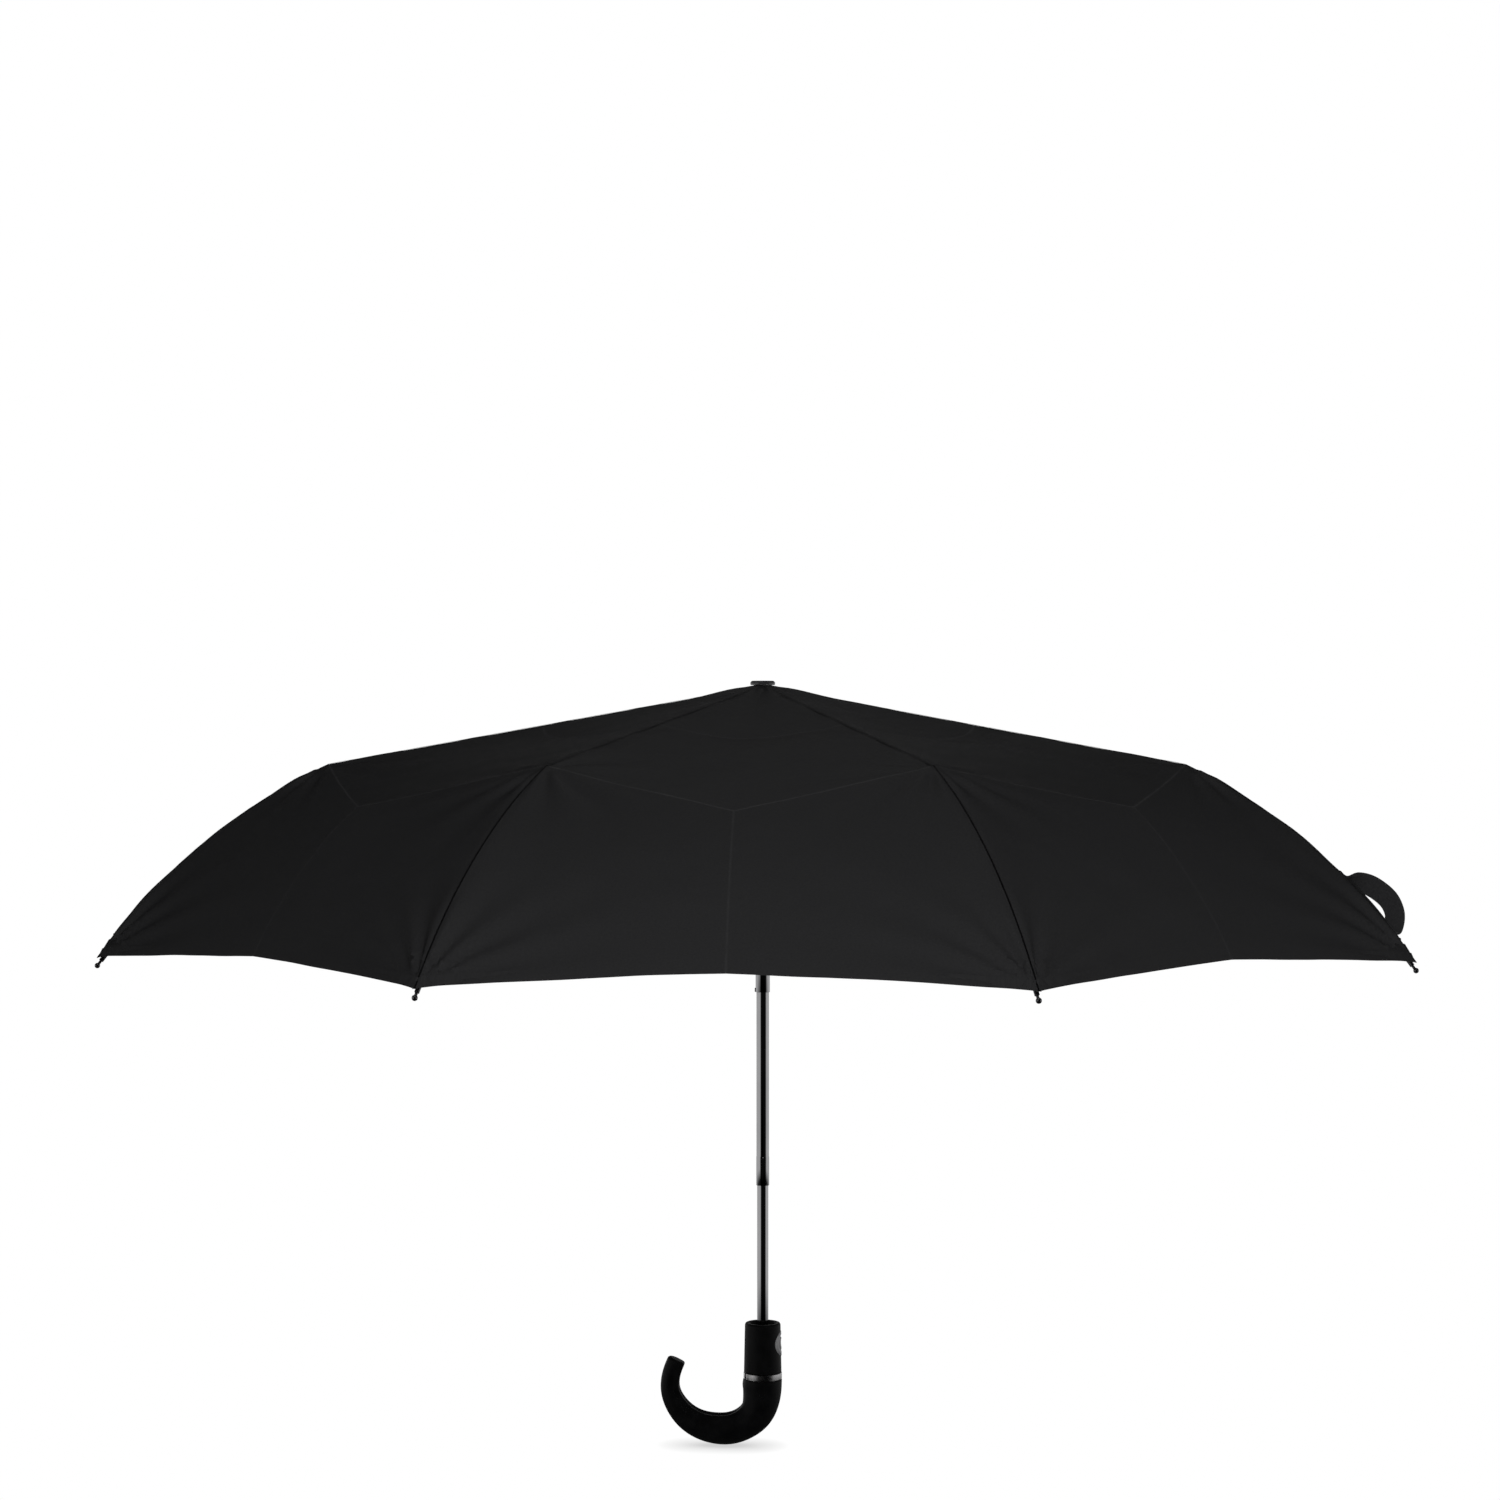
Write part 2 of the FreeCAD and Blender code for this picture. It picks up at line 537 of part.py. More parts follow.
def crown():
    foot = CROWN_TOP - CROWN_TALL
    body = join(post(CROWN_RADIUS, foot, CROWN_TOP),
                post(POST, CROWN_TOP - POST_ROOT, CROWN_TOP + CAP_UNDER))
    body = body.cut(post(TUBE_OUTER, foot - CLEAR, SHAFT_TOP))
    body = body.cut(slots(TUBE_OUTER + SLOT_FLOOR, foot - CLEAR, CROWN_TOP - CROWN_ROOF))
    return body.cut(pivot_wire(CROWN_PIVOT[1], RING_WIRE))


def top_rims(body, level):
    """The round edges of a body that lie at a level."""
    return [edge for edge in body.Edges
            if abs(edge.CenterOfMass.z - level) < NEAR and len(edge.Vertexes) == 1]


def crown_cap():
    foot = CROWN_TOP + CAP_UNDER
    body = post(CAP_RADIUS, foot, foot + CAP_TALL)
    return body.makeFillet(CAP_EDGE, top_rims(body, foot + CAP_TALL))


def runner():
    level = RUNNER_PIVOT[1]
    foot = level - RUNNER_BELOW
    body = join(post(RUNNER_RADIUS, foot, level + RUNNER_ABOVE),
                post(RUNNER_SLEEVE, foot - RUNNER_SLEEVE_TALL, level))
    body = body.cut(post(TUBE_OUTER + TUBE_GAP, foot - RUNNER_SLEEVE_TALL - CLEAR, level + CLEAR))
    body = body.cut(slots(TUBE_OUTER + SLOT_FLOOR, level - RUNNER_SLOT_BELOW, level + CLEAR))
    return body.cut(pivot_wire(level, RING_WIRE))


def collar_radius(z):
    share = (z - RING_TALL) / (COLLAR_HIGH - RING_TALL)
    return COLLAR_FOOT + (COLLAR_TOP - COLLAR_FOOT) * share


def collar_cone(extra, z0, z1):
    low = collar_radius(z0) + extra
    high = collar_radius(z1) + extra
    return Part.makeCone(low, high, z1 - z0, vec(0, 0, z0))


def handle_collar():
    ceiling = COLLAR_HIGH - RECESS_DEEP - DECK
    body = join(collar_cone(0, RING_TALL, COLLAR_HIGH), post(SPIGOT, -SPIGOT_DEEP, CAVITY_FOOT))
    body = body.makeFillet(COLLAR_RIM, top_rims(body, COLLAR_HIGH))
    body = body.cut(post(RECESS, COLLAR_HIGH - RECESS_DEEP, COLLAR_HIGH + CLEAR))
    body = body.cut(post(CAVITY, CAVITY_FOOT, ceiling))
    body = body.cut(post(TUBE_INNER, -SPIGOT_DEEP - CLEAR, COLLAR_HIGH))
    hole = bar(vec(0, 0, BUTTON_HIGH), vec(COLLAR_FOOT + CLEAR, 0, BUTTON_HIGH), BUTTON + BUTTON_GAP)
    return body.cut(hole)


def trim_ring():
    body = tube(TRIM_RADIUS, SPIGOT, 0, RING_TALL)
    rims = [edge for edge in body.Edges if len(edge.Vertexes) == 1
            and abs(edge.Curve.Radius - TRIM_RADIUS) < NEAR]
    body = body.makeChamfer(TRIM_CHAMFER, rims)
    split = block(SPIGOT - 1, TRIM_RADIUS + 1, -TRIM_SPLIT / 2, TRIM_SPLIT / 2, -CLEAR, RING_TALL + CLEAR)
    return body.cut(spin(split, TRIM_SPLIT_AT))


def button():
    axis = vec(0, 0, BUTTON_HIGH)
    past = vec(COLLAR_FOOT + CLEAR, 0, BUTTON_HIGH)
    body = bar(vec(BUTTON_BACK, 0, BUTTON_HIGH), past, BUTTON)
    body = body.common(collar_cone(BUTTON_PROUD, RING_TALL, COLLAR_HIGH))
    face = collar_radius(BUTTON_HIGH) + BUTTON_PROUD
    body = body.cut(bar(axis, vec(face - BUTTON_FACE, 0, BUTTON_HIGH), BUTTON_CUP))
    for share in BUTTON_RINGS:
        groove = bar(axis, past, BUTTON * share).cut(bar(axis, past, BUTTON * share - GROOVE_WIDE))
        groove = groove.cut(collar_cone(BUTTON_PROUD - GROOVE_DEEP, RING_TALL, COLLAR_HIGH))
        body = body.cut(groove)
    return body


def coil(radius, wire, length, turns):
    """A helical spring standing on the origin along +Z."""
    path = Part.makeHelix(length / turns, length, radius)
    section = Part.Wire(Part.Circle(vec(radius, 0, 0), vec(0, 1, 0), wire).toShape())
    return Part.Wire(path).makePipeShell([section], True, True)


def button_spring():
    start = TUBE_INNER + SPRING_WIRE + SPRING_PLAY
    end = collar_radius(BUTTON_HIGH) + BUTTON_PROUD - BUTTON_FACE - SPRING_WIRE - SPRING_PLAY
    body = coil(SPRING_RADIUS, SPRING_WIRE, end - start, SPRING_TURNS)
    body.rotate(vec(0, 0, 0), vec(0, 1, 0), 90)
    body.translate(vec(start, 0, BUTTON_HIGH))
    return body


def drive_spring():
    body = coil(DRIVE_RADIUS, DRIVE_WIRE, DRIVE_TOP - DRIVE_FOOT, DRIVE_TURNS)
    body.translate(vec(0, 0, DRIVE_FOOT))
    return body


def latch_slider():
    top = LATCH_FOOT + LATCH_TALL
    body = block(-LATCH_BACK, BUTTON_BACK, -LATCH_HALF, LATCH_HALF, LATCH_FOOT, top)
    leg = block(BUTTON_BACK - LEG, BUTTON_BACK, -LEG_HALF, LEG_HALF, LATCH_FOOT, LEG_TOP)
    radius = TUBE_INNER + LATCH_GAP
    high = top + CLEAR
    hole = join(post(radius, 0, high), block(0, BUTTON_TRAVEL, -radius, radius, 0, high),
                Part.makeCylinder(radius, high, vec(BUTTON_TRAVEL, 0, 0)))
    return join(body, leg).cut(hole)


def handle_pin():
    return cross(0, -HANDLE_PIN_LOW, -HANDLE_PIN_HALF, HANDLE_PIN_HALF, HANDLE_PIN)


def crook_section(index):
    """A round section square to the crook's middle line, with its seam always on +Y."""
    x, z, radius = CROOK[index]
    before = CROOK[max(index - 1, 0)]
    after = CROOK[min(index + 1, len(CROOK) - 1)]
    heading = vec(after[0] - before[0], 0, after[1] - before[1])
    if index == 0:
        heading = vec(0, 0, -1)
    side = vec(0, 1, 0)
    turn = FreeCAD.Rotation(side, heading.normalize().cross(side), heading, "ZXY")
    section = Part.Wire(Part.makeCircle(radius))
    section.Placement = FreeCAD.Placement(vec(x, 0, z), turn)
    return section


def crook_handle():
    body = Part.makeLoft([crook_section(k) for k in range(len(CROOK))], True, False)
    end = vec(CROOK[-1][0], 0, CROOK[-1][1])
    rims = [edge for edge in body.Edges if edge.CenterOfMass.distanceToPoint(end) < CROOK_END_ROUND / 2]
    body = body.makeFillet(CROOK_END_ROUND, rims)
    body = body.cut(post(SPIGOT + SPIGOT_GAP, -SPIGOT_DEEP - SPIGOT_END, CLEAR))
    body = body.cut(post(TUBE_INNER, -CROOK_BORE_DEEP, CLEAR))
    body = body.cut(cross(0, -HANDLE_PIN_LOW, -HANDLE_PIN_HALF, HANDLE_PIN_HALF, HANDLE_PIN))
    for side in (-1, 1):
        start = vec(0, side * HANDLE_PIN_HALF, -HANDLE_PIN_LOW)
        body = body.cut(bar(start, start + vec(0, side * CLEAR, 0), HANDLE_PIN_RECESS))
    return body


def on_strap_place(shape):
    """Stands a piece drawn along +Z on the cloth beside the strap's rib."""
    fall = END_FALL - math.degrees((OUTER_ARC - STRAP_ALONG) / OUTER_RADIUS)
    point = outer_point(STRAP_ALONG, FABRIC_AT_TIP + STRAP_LIFT)
    half = 180 / RIBS
    placed = tilt(shape, (0, 0), fall)
    placed = spin(placed, half)
    placed.translate(ridge_point(point, 0))
    sideways = vec(-math.sin(math.radians(half)), math.cos(math.radians(half)), 0)
    placed.translate(sideways * STRAP_SIDE)
    return spin(placed, FIRST_RIB + 360 / RIBS * (STRAP_RIB - 1))


def closure_strap():
    """A sewn loop of webbing that stands off the cloth, its long way square to the cloth."""
    half = STRAP_WIDE / 2
    foot = STRAP_PAD_TALL + STRAP_THICK + STRAP_LOOP

    def oval(radius):
        ends = [Part.makeCylinder(radius, STRAP_WIDE, vec(-half, 0, z), vec(1, 0, 0))
                for z in (foot, foot + STRAP_REACH)]
        middle = block(-half, half, -radius, radius, foot, foot + STRAP_REACH)
        return join(middle, *ends)

    return on_strap_place(oval(STRAP_LOOP + STRAP_THICK).cut(oval(STRAP_LOOP)))


def strap_fastener():
    half = STRAP_PAD / 2
    half_long = half + STRAP_PAD_EXTRA / 2
    return on_strap_place(block(-half_long, half_long, -half, half, 0, STRAP_PAD_TALL))


def save(name, shape):
    shape.exportStep("parts/" + name + ".step")


def build():
    os.makedirs("parts", exist_ok=True)
    save("inner_tube", inner_tube())
    save("middle_tube", middle_tube())
    save("outer_tube", outer_tube())
    save("crown", crown())
    save("crown_wire", pivot_wire(CROWN_PIVOT[1], RING_WIRE))
    save("crown_cap", crown_cap())
    save("runner", runner())
    save("runner_wire", pivot_wire(RUNNER_PIVOT[1], RING_WIRE))
    save("crook_handle", crook_handle())
    save("handle_collar", handle_collar())
    save("trim_ring", trim_ring())
    save("button", button())
    save("button_spring", button_spring())
    save("latch_slider", latch_slider())
    save("drive_spring", drive_spring())
    save("handle_pin", handle_pin())
    save("canopy", canopy())
    save("closure_strap", closure_strap())
    save("strap_fastener", strap_fastener())
    links = {"top_rib": top_rib(), "stretcher": stretcher(), "connecting_rod": connecting_rod(),
             "middle_rib": middle_rib(), "outer_rib": outer_rib()}
    for number in range(1, RIBS + 1):
        azimuth = FIRST_RIB + 360 / RIBS * (number - 1)
        for name, shape in links.items():
            save(name + "_" + str(number), spin(shape, azimuth))


build()
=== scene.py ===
import json
import math

import bmesh
import bpy
from mathutils import Matrix, Vector, noise

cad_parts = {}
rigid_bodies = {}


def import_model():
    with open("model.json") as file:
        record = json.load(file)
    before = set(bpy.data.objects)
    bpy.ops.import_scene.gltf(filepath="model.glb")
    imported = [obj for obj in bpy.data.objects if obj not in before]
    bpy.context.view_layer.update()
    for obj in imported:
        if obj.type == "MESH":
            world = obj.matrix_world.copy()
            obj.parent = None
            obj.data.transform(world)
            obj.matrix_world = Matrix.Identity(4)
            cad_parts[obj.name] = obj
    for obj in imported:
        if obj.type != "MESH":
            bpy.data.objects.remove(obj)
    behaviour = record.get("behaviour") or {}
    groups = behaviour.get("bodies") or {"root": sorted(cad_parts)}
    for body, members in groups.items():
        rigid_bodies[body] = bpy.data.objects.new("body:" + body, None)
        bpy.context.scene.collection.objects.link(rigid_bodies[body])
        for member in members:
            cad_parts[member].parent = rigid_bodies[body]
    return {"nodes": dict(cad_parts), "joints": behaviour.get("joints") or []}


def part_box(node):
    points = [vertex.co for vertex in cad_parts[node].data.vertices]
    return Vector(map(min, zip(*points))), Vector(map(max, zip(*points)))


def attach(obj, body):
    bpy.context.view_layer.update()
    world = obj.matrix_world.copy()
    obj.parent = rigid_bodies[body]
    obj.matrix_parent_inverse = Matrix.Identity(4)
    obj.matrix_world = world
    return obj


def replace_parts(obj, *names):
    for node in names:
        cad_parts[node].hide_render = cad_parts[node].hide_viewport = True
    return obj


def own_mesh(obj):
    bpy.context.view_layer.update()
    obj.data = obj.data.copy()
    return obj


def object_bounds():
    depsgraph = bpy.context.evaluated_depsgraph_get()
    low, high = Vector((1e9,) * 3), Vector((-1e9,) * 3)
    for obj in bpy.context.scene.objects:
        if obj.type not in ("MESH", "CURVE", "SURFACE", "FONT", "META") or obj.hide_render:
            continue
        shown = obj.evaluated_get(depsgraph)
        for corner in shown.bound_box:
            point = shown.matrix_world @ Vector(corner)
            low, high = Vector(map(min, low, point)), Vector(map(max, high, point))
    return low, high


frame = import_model()
cad_box = [list(corner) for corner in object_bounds()]
joint_at = {joint["name"]: Vector(joint["pos_m"]) for joint in frame["joints"] if "pos_m" in joint}


# -------------------------------------------- studio
# A pale floor that the crook just touches, in a white room.  A large soft box stands in
# front, a small one to the right, one hangs overhead and three stand behind.  Polished
# pieces mirror a low band of light on the walls to the right and left.
FLOOR_LEVEL = cad_box[0][2] - 0.0005
FLOOR_HALF = 6.0
bpy.context.scene.view_settings.view_transform = "Standard"
CAMERA_AWAY = 2.299
CAMERA_HIGH = 0.469
CAMERA_TURN = math.radians(3.1)
CAMERA_ASIDE = 0.0095
CAMERA_LENS = 73.97

shown = bpy.context.scene.collection.objects
camera_data = bpy.data.cameras.new("camera")
camera_data.lens = CAMERA_LENS
camera_data.sensor_width = 36
camera_data.clip_end = 60
camera = bpy.data.objects.new("camera", camera_data)
shown.link(camera)
towards_camera = Vector((math.sin(CAMERA_TURN), -math.cos(CAMERA_TURN), 0))
camera_right = Vector((math.cos(CAMERA_TURN), math.sin(CAMERA_TURN), 0))
camera.location = towards_camera * CAMERA_AWAY - camera_right * CAMERA_ASIDE
camera.location.z = CAMERA_HIGH
camera.rotation_euler = (math.radians(90), 0, CAMERA_TURN)
bpy.context.scene.camera = camera


def soft_box(name, place, aim, size, power, mirrored=True):
    light = bpy.data.lights.new(name, "AREA")
    light.shape = "RECTANGLE"
    light.size, light.size_y = size
    light.energy = power
    lamp = bpy.data.objects.new(name, light)
    lamp.location = place
    lamp.rotation_euler = (Vector(place) - Vector(aim)).to_track_quat("Z", "Y").to_euler()
    lamp.visible_glossy = mirrored
    shown.link(lamp)


soft_box("key", (0.45, -3.0, 0.98), (0, 0, 0.4), (1.0, 0.8), 116, mirrored=False)
soft_box("side", (2.6, -0.7, 0.62), (0.2, 0, 0.4), (0.7, 0.6), 2, mirrored=False)
soft_box("overhead", (-0.2, -0.9, 2.4), (0, 0, 0.3), (1.2, 1.2), 2)
soft_box("behind", (0.0, 1.1, 1.7), (0, 0, 0.45), (0.8, 0.6), 1.4)
for side in (-1, 1):
    soft_box("back_%+d" % side, (side * 2.2, 2.2, 0.55), (0, 0, 0.4), (1.0, 0.8), 80, mirrored=False)


def new_node(tree, kind, inputs=None, operation=None, group=None):
    """A node with its inputs linked, where a socket is given, or set to a value."""
    node = tree.nodes.new("ShaderNode" + kind)
    if operation:
        node.operation = operation
    if group:
        node.node_tree = group
    if kind == "Mix":
        node.data_type = "RGBA"
    for name, value in (inputs or {}).items():
        if isinstance(value, bpy.types.NodeSocket):
            tree.links.new(value, node.inputs[name])
        else:
            node.inputs[name].default_value = value
    return node


SEEN_WHITE = 1.0
WALL_GLOW = 0.05                      # what the white walls give back to the object
MIRRORED_GLOW = 0.5                   # the lit band, as polished pieces mirror it
world = bpy.data.worlds.new("white_room")
bpy.context.scene.world = world
world.use_nodes = True
room = world.node_tree
room.nodes.clear()
where = new_node(room, "TexCoord")
apart = new_node(room, "SeparateXYZ", {"Vector": where.outputs["Generated"]})
right_side = new_node(room, "MapRange", {
    "Value": apart.outputs["Y"], "From Min": -0.55, "From Max": -0.25, "To Min": 0.008})
left_side = new_node(room, "MapRange", {
    "Value": apart.outputs["X"], "From Min": -0.50, "From Max": -0.72})
brighter = new_node(room, "Math", {
    0: right_side.outputs["Result"], 1: left_side.outputs["Result"]}, "MAXIMUM")
above = new_node(room, "Math", {0: apart.outputs["Z"]}, "ABSOLUTE")
band = new_node(room, "MapRange", {
    "Value": above.outputs["Value"], "From Min": 0.19, "From Max": 0.27, "To Min": 1.0, "To Max": 0.03})
strip = new_node(room, "Math", {
    0: brighter.outputs["Value"], 1: band.outputs["Result"]}, "MULTIPLY")
mirrored = new_node(room, "Background", {
    "Color": strip.outputs["Value"], "Strength": MIRRORED_GLOW})
glow = new_node(room, "Background", {"Color": (1, 1, 1, 1), "Strength": WALL_GLOW})
seen_white = new_node(room, "Background", {"Color": (1, 1, 1, 1), "Strength": SEEN_WHITE})
seen = new_node(room, "LightPath")
soft_mix = new_node(room, "MixShader", {
    "Fac": seen.outputs["Is Glossy Ray"], 1: glow.outputs["Background"], 2: mirrored.outputs["Background"]})
room_mix = new_node(room, "MixShader", {
    "Fac": seen.outputs["Is Camera Ray"], 1: soft_mix.outputs["Shader"], 2: seen_white.outputs["Background"]})
new_node(room, "OutputWorld", {"Surface": room_mix.outputs["Shader"]})

floor_bm = bmesh.new()
floor_ends = [floor_bm.verts.new((-FLOOR_HALF, y, FLOOR_LEVEL)) for y in (-FLOOR_HALF, FLOOR_HALF)]
floor_line = floor_bm.edges.new(floor_ends)
swept = bmesh.ops.extrude_edge_only(floor_bm, edges=[floor_line])
far_side = [v for v in swept["geom"] if isinstance(v, bmesh.types.BMVert)]
bmesh.ops.translate(floor_bm, verts=far_side, vec=(2 * FLOOR_HALF, 0, 0))
bmesh.ops.recalc_face_normals(floor_bm, faces=floor_bm.faces)
floor_mesh = bpy.data.meshes.new("floor")
floor_bm.to_mesh(floor_mesh)
floor_bm.free()
floor = bpy.data.objects.new("floor", floor_mesh)
shown.link(floor)
floor.visible_glossy = False
floor_paint = bpy.data.materials.new("pale_floor")
floor_paint.use_nodes = True
paint = floor_paint.node_tree
floor_shader = paint.nodes["Principled BSDF"]
floor_shader.inputs["Base Color"].default_value = (0.30, 0.30, 0.30, 1)
floor_shader.inputs["Roughness"].default_value = 0.9
# The camera sees the floor as even white, darkened by a painted contact shadow where the ambient occlusion
# finds the crook close by.
near_floor = new_node(paint, "AmbientOcclusion", {"Distance": 0.022})
painted_contact_shadow = new_node(paint, "MapRange", {
    "Value": near_floor.outputs["AO"], "From Min": 0.25, "To Min": 0.62, "To Max": SEEN_WHITE})
floor_white = new_node(paint, "Emission", {"Strength": painted_contact_shadow.outputs["Result"]})
floor_seen = new_node(paint, "LightPath")
floor_mix = new_node(paint, "MixShader", {
    "Fac": floor_seen.outputs["Is Camera Ray"], 1: floor_shader.outputs["BSDF"],
    2: floor_white.outputs["Emission"]})
paint.links.new(floor_mix.outputs["Shader"], paint.nodes["Material Output"].inputs["Surface"])
floor_mesh.materials.append(floor_paint)


# -------------------------------------------- shaft tubes
# Three steel tubes that slide in one another, plated dark chrome and polished, with a
# rolled lower edge.  The middle one is swaged wider at its foot and has a locking notch.
TUBES = {
    "inner_tube": {"body": "handle", "radius": 0.0042, "wall": 0.0004, "swage": 0.0},
    "middle_tube": {"body": "middle_shaft", "radius": 0.0047, "wall": 0.0004, "swage": 0.00015},
    "outer_tube": {"body": "outer_shaft", "radius": 0.00535, "wall": 0.00045, "swage": 0.0},
}
SWAGE_TALL = 0.0209


def new_material(name):
    """An empty material with its node tree, its shader and its coordinates."""
    material = bpy.data.materials.new(name)
    material.use_nodes = True
    tree = material.node_tree
    return material, tree, tree.nodes["Principled BSDF"], new_node(tree, "TexCoord").outputs


def group_sockets(tree, ins, outs):
    for name, kind, value in ins:
        socket = tree.interface.new_socket(name=name, in_out="INPUT", socket_type=kind)
        if value is not None:
            socket.default_value = value
    for name, kind in outs:
        tree.interface.new_socket(name=name, in_out="OUTPUT", socket_type=kind)
    return tree.nodes.new("NodeGroupInput"), tree.nodes.new("NodeGroupOutput")


# Handling marks: slow cloudy changes of gloss and colour that every touched surface has.
handling = bpy.data.node_groups.new("handling_marks", "ShaderNodeTree")
marks_in, marks_out = group_sockets(
    handling,
    [("Vector", "NodeSocketVector", None), ("Scale", "NodeSocketFloat", 60.0),
     ("Colour", "NodeSocketColor", (0.1, 0.1, 0.1, 1)),
     ("Colour Worn", "NodeSocketColor", (0.2, 0.2, 0.2, 1)),
     ("Rough Low", "NodeSocketFloat", 0.2), ("Rough High", "NodeSocketFloat", 0.4)],
    [("Colour", "NodeSocketColor"), ("Roughness", "NodeSocketFloat")])
cloud = new_node(handling, "TexNoise", {
    "Vector": marks_in.outputs["Vector"], "Scale": marks_in.outputs["Scale"],
    "Detail": 6.0, "Roughness": 0.6})
cloud_range = new_node(handling, "MapRange", {
    "Value": cloud.outputs["Fac"], "From Min": 0.35, "From Max": 0.68})
rough_range = new_node(handling, "MapRange", {
    "Value": cloud_range.outputs["Result"], "To Min": marks_in.outputs["Rough Low"],
    "To Max": marks_in.outputs["Rough High"]})
colour_mix = new_node(handling, "Mix", {
    "Factor": cloud_range.outputs["Result"], "A": marks_in.outputs["Colour"],
    "B": marks_in.outputs["Colour Worn"]})
handling.links.new(colour_mix.outputs["Result"], marks_out.inputs["Colour"])
handling.links.new(rough_range.outputs["Result"], marks_out.inputs["Roughness"])


def add_handling(tree, shader, vector, scale, colour, worn, rough_low, rough_high):
    marks = new_node(tree, "Group", {
        "Vector": vector, "Scale": scale, "Colour": (*colour, 1), "Colour Worn": (*worn, 1),
        "Rough Low": rough_low, "Rough High": rough_high}, group=handling)
    tree.links.new(marks.outputs["Colour"], shader.inputs["Base Color"])
    tree.links.new(marks.outputs["Roughness"], shader.inputs["Roughness"])
    return marks


def stretched(tree, vector, scale):
    """The coordinates with each axis stretched, for grain that runs one way."""
    return new_node(tree, "Mapping", {"Vector": vector, "Scale": scale}).outputs["Vector"]


def add_bump(tree, shader, height, strength, depth):
    bump = new_node(tree, "Bump", {"Height": height, "Strength": strength, "Distance": depth})
    tree.links.new(bump.outputs["Normal"], shader.inputs["Normal"])
    return bump


def add_grain(tree, shader, vector, scale, strength, depth, detail=2.0):
    """A fine even grain in the surface, as bump only."""
    grain = new_node(tree, "TexNoise", {"Vector": vector, "Scale": scale, "Detail": detail})
    add_bump(tree, shader, grain.outputs["Fac"], strength, depth)


dark_chrome, tree, shader, place = new_material("dark_chrome")
shader.inputs["Metallic"].default_value = 1.0
drawn = stretched(tree, place["Object"], (400, 400, 14))
add_handling(tree, shader, place["Object"], 35, (0.58, 0.58, 0.592), (0.66, 0.66, 0.67), 0.04, 0.10)
add_grain(tree, shader, drawn, 6.0, 0.08, 0.00005)


def finish_piece(name, bm, material, body, smooth=35.0):
    """Turns a bmesh into a finished piece on its body, smooth except at edges over the angle."""
    mesh = bpy.data.meshes.new(name)
    bm.to_mesh(mesh)
    bm.free()
    mesh.materials.append(material)
    piece = bpy.data.objects.new(name, mesh)
    shown.link(piece)
    mesh.shade_smooth()
    mesh.set_sharp_from_angle(angle=math.radians(smooth))
    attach(piece, body)
    return piece


def turned(points, steps=72, axis=(0, 0, 1), closed=True):
    """A turned shape: the outline's points, as (radius, height), spun about the axis."""
    bm = bmesh.new()
    upright = Vector((0, 0, 1)).rotation_difference(Vector(axis)).to_matrix()
    ring = [bm.verts.new(upright @ Vector((radius, 0, height))) for radius, height in points]
    lines = [bm.edges.new(pair) for pair in zip(ring, ring[1:])]
    if closed:
        lines.append(bm.edges.new((ring[-1], ring[0])))
    bmesh.ops.spin(bm, geom=ring + lines, cent=(0, 0, 0), axis=axis, angle=2 * math.pi,
                   steps=steps, use_merge=True)
    bmesh.ops.remove_doubles(bm, verts=bm.verts, dist=1e-6)
    bmesh.ops.recalc_face_normals(bm, faces=bm.faces)
    return bm


def rounded(points, radius, segments=3):
    """The outline with each corner turned into a small arc, by cutting it back both ways."""
    smooth = []
    count = len(points)
    for k, point in enumerate(points):
        here = Vector(point)
        back = Vector(points[k - 1]) - here
        ahead = Vector(points[(k + 1) % count]) - here
        reach = min(radius, back.length * 0.45, ahead.length * 0.45)
        start = here + back.normalized() * reach
        end = here + ahead.normalized() * reach
        for step in range(segments + 1):
            t = step / segments
            smooth.append(tuple(start.lerp(here, t).lerp(here.lerp(end, t), t)))
    return smooth


for name, tube in TUBES.items():
    low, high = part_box(name)
    foot, top = low[2], high[2]
    outside = tube["radius"]
    inside = outside - tube["wall"]
    wide = outside + tube["swage"]
    outline = [(inside, foot), (wide, foot), (wide, foot + SWAGE_TALL),
               (outside, foot + SWAGE_TALL + 0.001), (outside, top), (inside, top)]
    if not tube["swage"]:
        outline = [(inside, foot), (outside, foot), (outside, top), (inside, top)]
    shell = turned(rounded(outline, 0.00018), 64)
    if name == "middle_tube":
        near = [v for v in shell.verts if abs(v.co.z - foot - SWAGE_TALL) < 0.0025 and v.co.y < 0]
        for vertex in near:
            dent = math.hypot(vertex.co.x / 0.0011, (vertex.co.z - foot - SWAGE_TALL) / 0.0018)
            vertex.co.y += 0.0006 * max(0.0, 1 - dent)
    piece = finish_piece(name + "_shell", shell, dark_chrome, tube["body"])
    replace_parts(piece, name)

# The stop that the runner rests on when shut, pressed out of the outer tube.
low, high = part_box("outer_tube")
stop = bmesh.new()
bmesh.ops.create_cube(stop, size=1.0)
bmesh.ops.scale(stop, vec=(0.0011, 0.0020, 0.0030), verts=stop.verts)
bmesh.ops.translate(stop, vec=(low[0] + 0.0005, 0, low[2] + 0.0016), verts=stop.verts)
bmesh.ops.bevel(stop, geom=stop.edges[:], offset=0.0004, segments=3, profile=0.5,
                affect="EDGES", material=-1)
finish_piece("runner_stop", stop, dark_chrome, "outer_shaft")


# -------------------------------------------- crown, runner and cap
# Moulded black nylon hubs that carry the ribs and stretchers on steel wires.  The cap is a
# glossy disc pressed on the crown's post, with a rounded rim and a shallow dish on top.
nylon, tree, shader, place = new_material("black_nylon")
add_handling(tree, shader, place["Object"], 220,
             (0.022, 0.022, 0.023), (0.035, 0.035, 0.036), 0.38, 0.55)
add_grain(tree, shader, place["Object"], 2500, 0.25, 0.00004)

